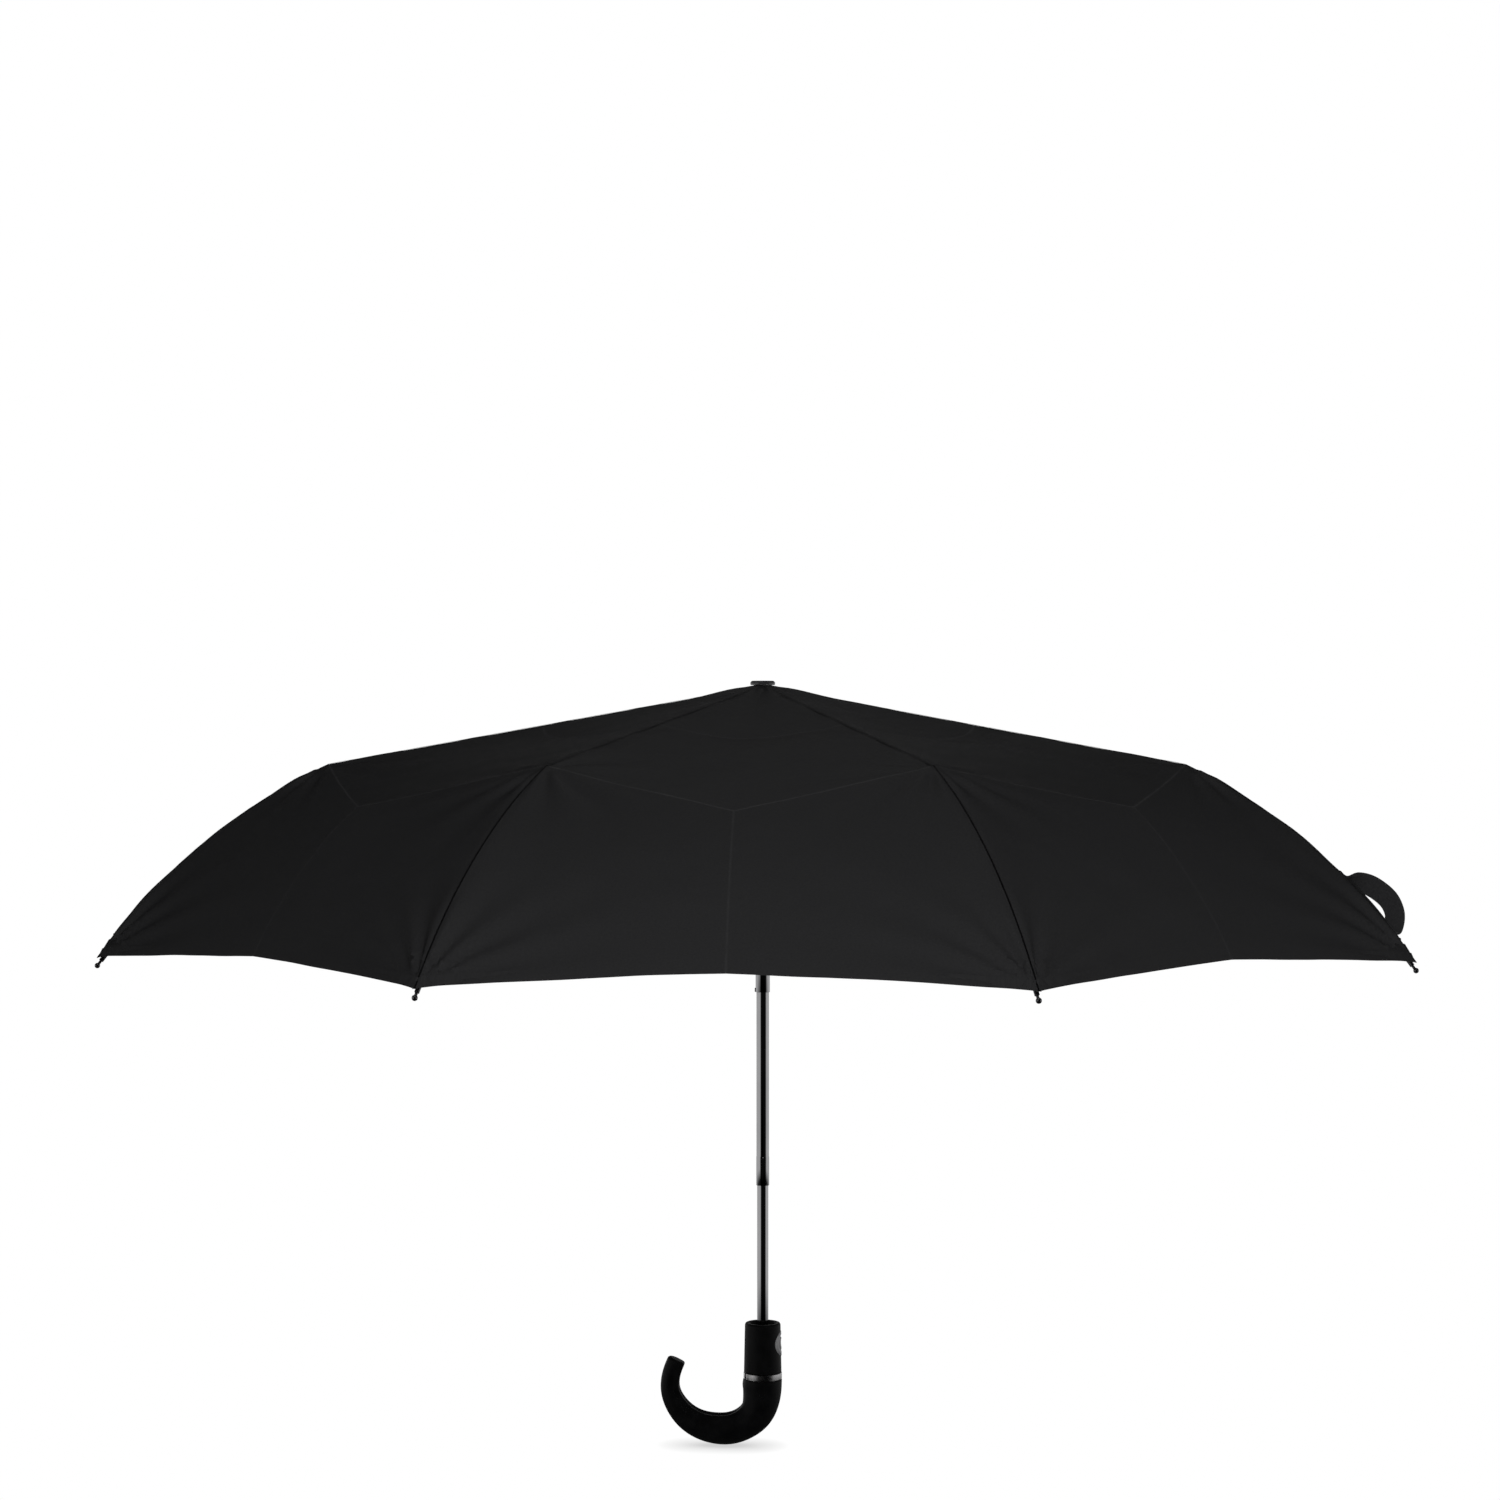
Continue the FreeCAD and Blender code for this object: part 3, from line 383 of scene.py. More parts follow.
gloss_cap, tree, shader, place = new_material("gloss_cap")
add_handling(tree, shader, place["Object"], 150,
             (0.012, 0.012, 0.013), (0.02, 0.02, 0.021), 0.10, 0.22)
shader.inputs["Coat Weight"].default_value = 0.6
shader.inputs["Coat Roughness"].default_value = 0.08
add_grain(tree, shader, place["Object"], 300, 0.05, 0.0001)

bare_wire, tree, shader, place = new_material("spring_steel")
shader.inputs["Metallic"].default_value = 1.0
add_handling(tree, shader, place["Object"], 500, (0.42, 0.42, 0.43), (0.55, 0.54, 0.52), 0.22, 0.42)

CAP_RADIUS = 0.0093
low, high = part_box("crown_cap")
foot, top = low[2], high[2]
dish = [(0.0, foot), (CAP_RADIUS - 0.0006, foot), (CAP_RADIUS, foot + 0.0003),
        (CAP_RADIUS, top - 0.0012), (CAP_RADIUS - 0.0011, top), (0.0060, top - 0.0002),
        (0.0050, top - 0.0006), (0.0, top - 0.0005)]
cap = turned(rounded(dish[1:-1], 0.0004, 4), 96, closed=False)
rims = [e for e in cap.edges if e.is_boundary]
bmesh.ops.holes_fill(cap, edges=rims, sides=0)
bmesh.ops.recalc_face_normals(cap, faces=cap.faces)
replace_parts(finish_piece("crown_cap_disc", cap, gloss_cap, "outer_shaft"), "crown_cap")


def repaint(node, material):
    mesh = frame["nodes"][node].data
    mesh.materials.clear()
    mesh.materials.append(material)


for node in ("crown", "runner", "latch_slider"):
    repaint(node, nylon)
for node in ("crown_wire", "runner_wire", "button_spring", "drive_spring"):
    repaint(node, bare_wire)


# -------------------------------------------- ribs
# The inner and middle ribs and the stretchers are pressed steel channels, painted black with
# small chips worn through to the steel.  The connecting rods are bright wire.
RIBS = 8
painted_steel, tree, shader, place = new_material("painted_rib_steel")
marks = add_handling(tree, shader, place["Object"], 90,
                     (0.012, 0.012, 0.013), (0.03, 0.03, 0.031), 0.25, 0.42)
chips = new_node(tree, "TexNoise", {"Vector": place["Object"], "Scale": 900, "Detail": 4.0})
chip_range = new_node(tree, "MapRange", {
    "Value": chips.outputs["Fac"], "From Min": 0.70, "From Max": 0.76})
chip_mix = new_node(tree, "Mix", {
    "Factor": chip_range.outputs["Result"], "A": marks.outputs["Colour"], "B": (0.45, 0.45, 0.46, 1)})
tree.links.new(chip_mix.outputs["Result"], shader.inputs["Base Color"])
tree.links.new(chip_range.outputs["Result"], shader.inputs["Metallic"])
shader.inputs["Coat Weight"].default_value = 0.3

nickel, tree, shader, place = new_material("nickel_wire")
shader.inputs["Metallic"].default_value = 1.0
add_handling(tree, shader, place["Object"], 120, (0.62, 0.62, 0.64), (0.72, 0.71, 0.70), 0.12, 0.28)

for number in range(1, RIBS + 1):
    for kind in ("top_rib_%d", "middle_rib_%d", "stretcher_%d"):
        repaint(kind % number, painted_steel)
    repaint("connecting_rod_%d" % number, nickel)
repaint("handle_pin", nickel)

# The outer ribs are black glass fibre; from the tip sleeve down the
# same piece is nickel plated, so the finish changes at the sleeve's level.
TIP_LEVEL = 0.3325
rod_finish, tree, shader, place = new_material("glass_fibre_and_tip")
marks = add_handling(tree, shader, place["Object"], 200,
                     (0.014, 0.014, 0.015), (0.03, 0.03, 0.03), 0.3, 0.45)
level = new_node(tree, "SeparateXYZ", {"Vector": place["Object"]})
below = new_node(tree, "Math", {0: level.outputs["Z"], 1: TIP_LEVEL}, "LESS_THAN")
tip_mix = new_node(tree, "Mix", {
    "Factor": below.outputs["Value"], "A": marks.outputs["Colour"], "B": (0.40, 0.40, 0.42, 1)})
tree.links.new(tip_mix.outputs["Result"], shader.inputs["Base Color"])
tree.links.new(below.outputs["Value"], shader.inputs["Metallic"])
for number in range(1, RIBS + 1):
    repaint("outer_rib_%d" % number, rod_finish)


# -------------------------------------------- canopy cloth
# Eight panels of black pongee, cut as narrow triangles and sewn together over the ribs.
# Each panel is drawn as six stretches, left and right of its middle line, so that the
# packing creases lie between them and each stretch folds with the rib that carries it.
SLOPE = math.radians(10.04)
STRAIGHT = 0.324                      # crown pivot to second fold, along the rib
CLOTH_RISE = 0.0046                   # cloth above the straight ribs' middle line
CLOTH_LAYER = 0.0008
HOLE_FLAT = 0.0061                    # from the shaft's axis to the flats of the hole at the top
CROWN_LIFT = 0.0016                   # the crown pushes the cloth up above the ribs' line
CROWN_LIFT_OUT = 0.040
EDGE_SAG = 0.0140                     # bow of the cloth over the curved rods
HALF_PANEL = math.pi / RIBS
CREASE_ONE = (0.190, 0.4765)          # first packing crease on the middle line: out, height
CREASE_TWO = (0.364, 0.4310)          # second packing crease on the middle line
SCALLOP = 0.0120                      # how far the hem is drawn up between two tips
HEM_FALL = math.radians(54)           # how steeply it is drawn up
MIDDLE_BOWS = (0.0015, 0.0060, 0.0070)
# Rounding over the middle line in each band: at its top, at its foot, and its swell between.
SMOOTHNESS = ((0.9, 0.7, 0.2), (0.7, 0.10, 0.25), (0.10, 0.45, 0.35))
ACROSS = 34                           # squares over a stretch
DOWN = (26, 30, 50)                   # squares down it, in each band

fold_at = joint_at["canopy_fold"]
crown_pivot = Vector((math.hypot(fold_at.x, fold_at.y), fold_at.z))


def along_rib(out, up):
    """A point in a rib's plane, as (radius, height), out along the rib and up off it."""
    return Vector((crown_pivot.x + out * math.cos(SLOPE) + up * math.sin(SLOPE),
                   crown_pivot.y - out * math.sin(SLOPE) + up * math.cos(SLOPE)))


canopy_low, canopy_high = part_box("canopy")
next_fold = joint_at["middle_rib_1_fold"]
first_fold_out = (Vector((math.hypot(*next_fold.xy), next_fold.z)) - crown_pivot).length
knee = along_rib(STRAIGHT, CLOTH_RISE)
first_fold = along_rib(first_fold_out, CLOTH_RISE)
hole_radius = HOLE_FLAT / math.cos(HALF_PANEL)
hole = Vector((hole_radius, knee.y + (knee.x - hole_radius) * math.tan(SLOPE)))
hem_corner = Vector((canopy_high[0] / math.cos(HALF_PANEL), canopy_low[2] + CLOTH_LAYER))


def bowed(start, end, bow, share):
    """A point on the shallow arc from start to end that stands bow above its chord."""
    chord = end - start
    up = Vector((-chord.y, chord.x)).normalized()
    if up.y < 0:
        up = -up
    return start + chord * share + up * bow * 4 * share * (1 - share)


hem_middle = Vector((hem_corner.x * math.cos(HALF_PANEL) - SCALLOP * math.cos(HEM_FALL),
                     hem_corner.y + SCALLOP * math.sin(HEM_FALL)))
RIDGE = [(hole, first_fold, 0.0), (first_fold, knee, 0.0), (knee, hem_corner, EDGE_SAG)]
BAND_FROM = (0.0, (first_fold - hole).length, (knee - hole).length)
middle_points = [Vector((hole.x * math.cos(HALF_PANEL), hole.y)), Vector(CREASE_ONE),
                 Vector(CREASE_TWO), hem_middle]


def fan(side, away, folds, deep, reach, start):
    """Drawn-in folds that spread from a held point, deepest a little way out from it."""
    out = math.hypot(side, away)
    turn = math.atan2(side, away + 1e-6)
    rise = min(1.0, out / start)
    return math.sin(turn * folds + 0.6) * deep * rise * math.exp(-out / reach)


def pucker(place, side, half_wide, band, down, length):
    """Height of the cloth's small folds at a point, from the seam out to the middle line."""
    aside = side * half_wide
    slow = noise.noise(place * 13.0 + Vector((3.1, 7.7, 0.4))) * 0.0012
    fine = noise.noise(place * 42.0 + Vector((9.3, 1.2, 5.5))) * 0.00045
    along_seam = (BAND_FROM[band] + down * length) * 95
    seam = math.sin(along_seam) * 0.00055 * math.exp(-aside / 0.012) * min(1.0, aside / 0.003)
    from_top, from_foot = down * length, (1 - down) * length
    fade_top, fade_foot = min(1.0, down * 12), min(1.0, (1 - down) * 12)
    folds = 0.0
    if band == 2:
        edge = 0.35 + 0.65 * min(1.0, from_foot / 0.022)
        folds += fan(aside, from_foot, 13.0, 0.0042, 0.046, 0.016) * edge * fade_top
        folds += fan(aside, from_top, 10.0, 0.0034, 0.034, 0.010) * fade_top
    if band == 1:
        folds += fan(aside, from_foot, 9.0, 0.0022, 0.032, 0.010) * min(fade_foot, fade_top)
    if band == 0:
        folds += fan(aside, from_top, 8.0, 0.0020, 0.045, 0.012) * fade_foot
    return (slow + fine) * min(1.0, aside / 0.012) + seam + folds * min(1.0, aside / 0.004)


def cloth_point(panel, side_sign, band, side, down):
    """A point of a panel: side is 0 at the rib and 1 at the middle line, down runs along the band."""
    start, end, bow = RIDGE[band]
    at_rib = bowed(start, end, bow, down)
    at_middle = bowed(middle_points[band], middle_points[band + 1], MIDDLE_BOWS[band], down)
    if band == 0:
        lift = CROWN_LIFT * max(0.0, 1 - (at_rib.x - hole_radius) / CROWN_LIFT_OUT) ** 2
        at_rib.y += lift
        at_middle.y += lift
    early, late, bulge = SMOOTHNESS[band]
    soft = early + (late - early) * down + bulge * math.sin(math.pi * down)
    reach = (1 - soft) * side + soft * (2 * side - side * side)
    out = at_rib.x * math.cos(HALF_PANEL) * (1 - reach) + at_middle.x * reach
    height = at_rib.y * (1 - reach) + at_middle.y * reach
    across = at_rib.x * math.sin(HALF_PANEL) * (1 - side) * side_sign
    turn = 2 * HALF_PANEL * panel
    outward = Vector((math.cos(turn), math.sin(turn), 0))
    sideways = Vector((-math.sin(turn), math.cos(turn), 0))
    point = outward * out + sideways * across + Vector((0, 0, height))
    half_wide = at_rib.x * math.sin(HALF_PANEL)
    lean = math.radians((10 + 2 * down, 12 + 6 * down, 18 + 34 * down)[band])
    fold = pucker(point, side, half_wide, band, down, (end - start).length)
    return point + (outward * math.sin(lean) + Vector((0, 0, math.cos(lean)))) * fold


# The weave: plain crossing threads, far finer than a fold, with slight slubs.
weave = bpy.data.node_groups.new("pongee_weave", "ShaderNodeTree")
weave_in, weave_out = group_sockets(
    weave, [("Vector", "NodeSocketVector", None), ("Threads per m", "NodeSocketFloat", 2200.0)],
    [("Height", "NodeSocketFloat"), ("Slub", "NodeSocketFloat")])
weave_scale = new_node(weave, "VectorMath", {
    0: weave_in.outputs["Vector"], "Scale": weave_in.outputs["Threads per m"]}, "SCALE")
weave_split = new_node(weave, "SeparateXYZ", {"Vector": weave_scale.outputs["Vector"]})
threads = [new_node(weave, "Math", {0: weave_split.outputs[axis]}, "SINE") for axis in ("X", "Y")]
crossing = new_node(weave, "Math", {
    0: threads[0].outputs["Value"], 1: threads[1].outputs["Value"]}, "MULTIPLY")
slubs = new_node(weave, "TexNoise", {
    "Vector": weave_in.outputs["Vector"], "Scale": 700.0, "Detail": 5.0})
weave.links.new(crossing.outputs["Value"], weave_out.inputs["Height"])
weave.links.new(slubs.outputs["Fac"], weave_out.inputs["Slub"])

# The cloth's colour: slubs, a painted highlight as a pale line along the packing creases and the middle
# line, and painted shade as a dark line down the stitched groove in the middle of each seam strip.
pongee, tree, shader, place = new_material("black_pongee")
shader.inputs["Roughness"].default_value = 0.60
shader.inputs["Specular IOR Level"].default_value = 0.05
weave_node = new_node(tree, "Group", {
    "Vector": place["UV"], "Threads per m": 9000.0}, group=weave)
cloth_mix = new_node(tree, "Mix", {
    "Factor": weave_node.outputs["Slub"], "A": (0.0085, 0.0085, 0.0088, 1), "B": (0.0150, 0.0150, 0.0155, 1)})
creases = new_node(tree, "Attribute")
creases.attribute_name = "crease_lines"
crease_split = new_node(tree, "SeparateXYZ", {"Vector": creases.outputs["Vector"]})
crease_wobble = new_node(tree, "TexNoise", {"Vector": place["UV"], "Scale": 60.0})
lines = [new_node(tree, "MapRange", {
    "Value": crease_split.outputs[axis], "From Max": width, "To Min": paleness, "To Max": 0.0})
    for axis, width, paleness in (("X", 0.0011, 0.4), ("Y", 0.0012, 1.0))]
crease_line = new_node(tree, "Math", {
    0: lines[0].outputs["Result"], 1: lines[1].outputs["Result"]}, "MAXIMUM")
painted_crease_highlight = new_node(tree, "Math", {
    0: crease_line.outputs["Value"], 1: crease_wobble.outputs["Fac"]}, "MULTIPLY")
# Pale lines along the packing creases and the middle line: a painted highlight where the folds catch the
# light, broken up by noise.
crease_highlight_mix = new_node(tree, "Mix", {
    "Factor": painted_crease_highlight.outputs["Value"], "A": cloth_mix.outputs["Result"], "B": (0.030, 0.030, 0.031, 1)})
# A dark line down the middle of each seam strip: painted shade in the stitched groove.
painted_groove_shade = new_node(tree, "MapRange", {
    "Value": crease_split.outputs["Z"], "From Min": 0.0003, "From Max": 0.0009})
groove_shade_mix = new_node(tree, "Mix", {
    "Factor": painted_groove_shade.outputs["Result"], "A": (0.0012, 0.0012, 0.0013, 1),
    "B": crease_highlight_mix.outputs["Result"]})
tree.links.new(groove_shade_mix.outputs["Result"], shader.inputs["Base Color"])
rumple = new_node(tree, "TexNoise", {
    "Vector": place["UV"], "Scale": 45.0, "Detail": 4.0, "Distortion": 0.6})
rumple_bump = new_node(tree, "Bump", {
    "Height": rumple.outputs["Fac"], "Strength": 0.35, "Distance": 0.0012})
weave_bump = add_bump(tree, shader, weave_node.outputs["Height"], 0.35, 0.00006)
tree.links.new(rumple_bump.outputs["Normal"], weave_bump.inputs["Normal"])

APART = 0.5                           # keeps the panels apart on the flat map
BAND_NAMES = ("inner", "middle", "outer")
BAND_BODIES = ("top_rib_%d", "middle_rib_%d", "outer_rib_%d")
FAR_OFF = 1.0                         # stands for no crease or seam line near
HEM_FOLD = 0.0080
HEM_THICK = 0.0007


def rib_point(number, place):
    """The place (radius, height) in a rib's plane, as a point of the umbrella."""
    azimuth = HALF_PANEL * (2 * number - 1)
    return Vector((place.x * math.cos(azimuth), place.x * math.sin(azimuth), place.y))


def lay_flat(bm, flat_place):
    """Gives each corner its place on the cloth's flat map, in metres."""
    flat_map = bm.loops.layers.uv.new("cloth")
    for face in bm.faces:
        for loop in face.loops:
            loop[flat_map].uv = flat_place(loop.vert)


def cloth_stretch(panel, side_sign, band):
    """One stretch of a panel, half a panel wide and one rib link long."""
    bm = bmesh.new()
    bmesh.ops.create_grid(bm, x_segments=ACROSS, y_segments=DOWN[band], size=0.5)
    crease_map = bm.verts.layers.float_vector.new("crease_lines")
    shares = {}
    for vertex in bm.verts:
        side, down = (min(1.0, max(0.0, vertex.co[axis] + 0.5)) for axis in (0, 1))
        shares[vertex] = (side ** 1.5, down)
    for vertex, (side, down) in shares.items():
        vertex.co = cloth_point(panel, side_sign, band, side, down)
    start, end, bow = RIDGE[band]
    length = (end - start).length
    flat_place = {}
    for vertex, (side, down) in shares.items():
        off_middle = (1 - side) * bowed(start, end, bow, down).x * math.sin(HALF_PANEL)
        flat_place[vertex] = (off_middle * side_sign + panel * APART, start.x + down * length)
        lines = [down * length if band else FAR_OFF, (1 - down) * length if band < 2 else FAR_OFF]
        vertex[crease_map] = (off_middle if band == 2 else FAR_OFF, min(lines), FAR_OFF)
    lay_flat(bm, flat_place.get)
    if band == 2:
        edge = [e for e in bm.edges if all(shares[v][1] > 0.999 for v in e.verts)]
        inward = Vector((-math.cos(2 * HALF_PANEL * panel), -math.sin(2 * HALF_PANEL * panel), 0))
        for move in (inward * HEM_THICK, inward * HEM_FOLD * 0.45 + Vector((0, 0, HEM_FOLD * 0.8))):
            grown = bmesh.ops.extrude_edge_only(bm, edges=edge)
            rim = [v for v in grown["geom"] if isinstance(v, bmesh.types.BMVert)]
            bmesh.ops.translate(bm, verts=rim, vec=move)
            edge = [e for e in grown["geom"] if isinstance(e, bmesh.types.BMEdge)
                    and all(v in rim for v in e.verts)]
    bmesh.ops.recalc_face_normals(bm, faces=bm.faces)
    middle_face = max(bm.faces, key=lambda f: f.calc_center_median().z)
    if middle_face.normal.z < 0:
        bmesh.ops.reverse_faces(bm, faces=bm.faces)
    return bm


# A narrow strip lies over each rib's seam, in three lengths that ride with the cloth.
SEAM_HALF = 0.0016
SEAM_RISE = 0.00035
STITCH_DEEP = 0.00006
STITCH_TURNS = 2800                   # radians a metre: a stitch every 2.2 mm
for number in range(1, RIBS + 1):
    for band, band_name in enumerate(BAND_NAMES):
        start, end, bow = RIDGE[band]
        length = (end - start).length
        strip = bmesh.new()
        bmesh.ops.create_grid(strip, x_segments=4, y_segments=40, size=0.5)
        seam_crease = strip.verts.layers.float_vector.new("crease_lines")
        azimuth = HALF_PANEL * (2 * number - 1)
        sideways = Vector((-math.sin(azimuth), math.cos(azimuth), 0))
        seam_place = {v: (v.co.x * 2, v.co.y + 0.5) for v in strip.verts}
        for vertex, (across, down) in seam_place.items():
            ridge = rib_point(number, bowed(start, end, bow, down))
            fall = abs(across) * SEAM_HALF * (0.084 if band < 2 else 0.315)
            vertex.co = ridge + sideways * across * SEAM_HALF
            vertex.co.z += SEAM_RISE - fall + STITCH_DEEP * math.sin(down * length * STITCH_TURNS)
            vertex[seam_crease] = (FAR_OFF, FAR_OFF, abs(across) * SEAM_HALF)
        lay_flat(strip, {v: (across * SEAM_HALF + number * APART, start.x + down * length)
                         for v, (across, down) in seam_place.items()}.get)
        if max(strip.faces, key=lambda f: f.calc_center_median().z).normal.z < 0:
            bmesh.ops.reverse_faces(strip, faces=strip.faces)
        finish_piece(
            "seam_%s_%d" % (band_name, number), strip, pongee, BAND_BODIES[band] % number, 60)

for panel in range(RIBS):
    for side_sign, side_name in ((-1, "right"), (1, "left")):
        number = (panel if side_sign < 0 else panel + 1) or RIBS
        for band, band_name in enumerate(BAND_NAMES):
            cloth = cloth_stretch(panel, side_sign, band)
            cut_area = sum(face.calc_area() for face in cloth.faces)
            start, end, bow = RIDGE[band]
            body = BAND_BODIES[band] % number
            piece = finish_piece("cloth_%s_%s_%d" % (band_name, side_name, panel + 1), cloth,
                                 pongee, body, 50)
            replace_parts(piece, "canopy")
            turn = 2 * HALF_PANEL * panel
            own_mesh(piece)


# -------------------------------------------- closing strap
# A loop of black webbing sewn flat to the cloth at both ends beside the tip of the last rib.
# It stands off the edge in an arch and twists once between its two sewn ends.
STRAP_WIDE = 0.0135
STRAP_THICK = 0.0012
STRAP_LONG = 0.09                     # length on the flat map
STRAP_STARTS = 0.655                  # share of the outer band where its upper end is sewn
STRAP_INWARD = 0.012                  # off the rib, onto the panel
# Its route in mm, down the slope and off the cloth, and its turn in degrees on the way.
STRAP_ROUTE = [(-6.0, 0.9), (0.0, 1.2), (7.0, 6.0), (17.0, 11.5), (30.0, 14.0), (40.5, 11.0),
               (46.5, 4.5), (48.5, 1.0), (49.5, 0.8)]
STRAP_TWIST = (90, 80, 30, 4, 0, 0, 18, 70, 90)
strap = bmesh.new()
bmesh.ops.create_grid(strap, x_segments=8, y_segments=72, size=0.5)
strap_shares = {v: (v.co.x * 2, v.co.y + 0.5) for v in strap.verts}


def smooth_between(values, share):
    """A value on the smooth line through the given points, vectors or numbers."""
    place_at = share * (len(values) - 1)
    k = min(int(place_at), len(values) - 2)
    t = place_at - k
    before = values[max(k - 1, 0)]
    after = values[min(k + 2, len(values) - 1)]
    here, there = values[k], values[k + 1]
    leave = (there - before) * 0.5
    arrive = (after - here) * 0.5
    return (here * (2 * t**3 - 3 * t**2 + 1) + leave * (t**3 - 2 * t**2 + t)
            + there * (3 * t**2 - 2 * t**3) + arrive * (t**3 - t**2))


strap_start = bowed(*RIDGE[2][:2], EDGE_SAG, STRAP_STARTS)
strap_after = bowed(*RIDGE[2][:2], EDGE_SAG, STRAP_STARTS + 0.24)
down_slope = Vector(((strap_after.x - strap_start.x) * math.cos(HALF_PANEL), 0,
                     strap_after.y - strap_start.y)).normalized()
off_cloth = Vector((-down_slope.z, 0, down_slope.x))
strap_foot = Vector((strap_start.x * math.cos(HALF_PANEL),
                     STRAP_INWARD - strap_start.x * math.sin(HALF_PANEL), strap_start.y))
strap_route = [strap_foot + down_slope * down / 1000 + off_cloth * off / 1000 for down, off in STRAP_ROUTE]
for vertex, (across, share) in strap_shares.items():
    point = smooth_between(strap_route, share)
    heading = (smooth_between(strap_route, min(share + 0.01, 1))
               - smooth_between(strap_route, max(share - 0.01, 0))).normalized()
    wide_way = heading.cross(Vector((0, -1, 0))).normalized()
    twist = Matrix.Rotation(math.radians(smooth_between(STRAP_TWIST, share)), 3, heading)
    vertex.co = point + twist @ wide_way * across * STRAP_WIDE / 2
lay_flat(strap, {v: (across * STRAP_WIDE / 2, share * STRAP_LONG)
                 for v, (across, share) in strap_shares.items()}.get)
strap_area = sum(face.calc_area() for face in strap.faces)
bmesh.ops.solidify(strap, geom=strap.faces[:], thickness=STRAP_THICK)
bmesh.ops.recalc_face_normals(strap, faces=strap.faces)
webbing, tree, shader, place = new_material("black_webbing")
shader.inputs["Roughness"].default_value = 0.7
shader.inputs["Specular IOR Level"].default_value = 0.08
shader.inputs["Sheen Weight"].default_value = 0.02
web_node = new_node(tree, "Group", {
    "Vector": place["UV"], "Threads per m": 5200.0}, group=weave)
web_mix = new_node(tree, "Mix", {
    "Factor": web_node.outputs["Slub"], "A": (0.006, 0.006, 0.0065, 1), "B": (0.016, 0.016, 0.0165, 1)})
tree.links.new(web_mix.outputs["Result"], shader.inputs["Base Color"])
add_bump(tree, shader, web_node.outputs["Height"], 0.6, 0.00015)
strap_piece = finish_piece("closing_strap", strap, webbing, "outer_rib_8", 50)
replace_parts(strap_piece, "closure_strap")

# The patch that the strap is sewn through, a square of webbing folded under all round.
PATCH_HALF = 0.0070
patch = bmesh.new()
bmesh.ops.create_grid(patch, x_segments=12, y_segments=12, size=0.5)
patch_place = {v: (v.co.x * 2, v.co.y * 2) for v in patch.verts}
patch_middle = strap_foot + down_slope * 0.0455 + off_cloth * 0.0006
for vertex, (across, along) in patch_place.items():
    quilt = 0.0004 * (1 - across ** 4) * (1 - along ** 4) - 0.00015 * (abs(abs(across) - 0.75) < 0.1)
    vertex.co = (patch_middle + Vector((0, 1, 0)) * across * PATCH_HALF
                 + down_slope * along * PATCH_HALF + off_cloth * quilt)
lay_flat(patch, {v: (across * PATCH_HALF, along * PATCH_HALF)
                 for v, (across, along) in patch_place.items()}.get)
bmesh.ops.solidify(patch, geom=patch.faces[:], thickness=0.0010)
bmesh.ops.recalc_face_normals(patch, faces=patch.faces)
patch_piece = finish_piece("strap_patch", patch, webbing, "outer_rib_8", 50)
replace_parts(patch_piece, "strap_fastener")


# -------------------------------------------- handle collar
# The straight upper half of the grip, soft-touch black plastic with a rounded rim, a deep
# recess round the shaft and a round hole for the button in its +X side.
COLLAR_LOW = 0.0140
COLLAR_HIGH = 0.0133
RECESS = 0.0095
COLLAR_BORE = 0.0112
SHAFT_HOLE = 0.0045
COLLAR_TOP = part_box("handle_collar")[1][2]
COLLAR_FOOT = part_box("trim_ring")[1][2]

soft_touch, tree, shader, place = new_material("soft_touch_black")
add_handling(tree, shader, place["Object"], 110,
             (0.0010, 0.0010, 0.0011), (0.0022, 0.0022, 0.0023), 0.46, 0.60)
shader.inputs["Specular IOR Level"].default_value = 0.20
shader.inputs["Sheen Weight"].default_value = 0.01
add_grain(tree, shader, place["Object"], 3200, 0.22, 0.00003, 3.0)


def collar_radius(height):
    share = (height - COLLAR_FOOT) / (COLLAR_TOP - COLLAR_FOOT)
    return COLLAR_LOW + (COLLAR_HIGH - COLLAR_LOW) * share


def cut_away(piece, cutter_bm):
    """Cuts one shape out of a piece and leaves the result in the piece's own mesh."""
    cutter_mesh = bpy.data.meshes.new("cutter")
    cutter_bm.to_mesh(cutter_mesh)
    cutter_bm.free()
    cutter = bpy.data.objects.new("cutter", cutter_mesh)
    shown.link(cutter)
    cut = piece.modifiers.new("cut", "BOOLEAN")
    cut.operation = "DIFFERENCE"
    cut.solver = "EXACT"
    cut.object = cutter
    bpy.context.view_layer.update()
    result = bpy.data.meshes.new_from_object(piece.evaluated_get(bpy.context.evaluated_depsgraph_get()))
    piece.modifiers.clear()
    piece.data = result
    bpy.data.objects.remove(cutter)


collar_outline = [(RECESS, COLLAR_TOP - 0.0033), (RECESS, COLLAR_TOP - 0.0006),
                  (RECESS + 0.0012, COLLAR_TOP - 0.0004), (COLLAR_HIGH - 0.0008, COLLAR_TOP - 0.0002),
                  (COLLAR_HIGH, COLLAR_TOP - 0.0015), (COLLAR_LOW, COLLAR_FOOT + 0.0003),
                  (COLLAR_LOW - 0.0004, COLLAR_FOOT), (COLLAR_BORE, COLLAR_FOOT),
                  (COLLAR_BORE, COLLAR_TOP - 0.0050), (SHAFT_HOLE, COLLAR_TOP - 0.0050),
                  (SHAFT_HOLE, COLLAR_TOP - 0.0033)]
collar_bm = turned(rounded(collar_outline, 0.0006, 4), 128)
collar = finish_piece("collar_shell", collar_bm, soft_touch, "handle")
BUTTON_RADIUS = 0.0093
BUTTON_GAP = 0.0002
button_low, button_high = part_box("button")
button_level = (button_low[2] + button_high[2]) / 2
drill = bmesh.new()
bmesh.ops.create_cone(drill, cap_ends=True, segments=96, radius1=BUTTON_RADIUS + BUTTON_GAP,
                      radius2=BUTTON_RADIUS + BUTTON_GAP, depth=0.02)
bmesh.ops.rotate(drill, verts=drill.verts, matrix=Matrix.Rotation(math.radians(90), 3, "Y"))
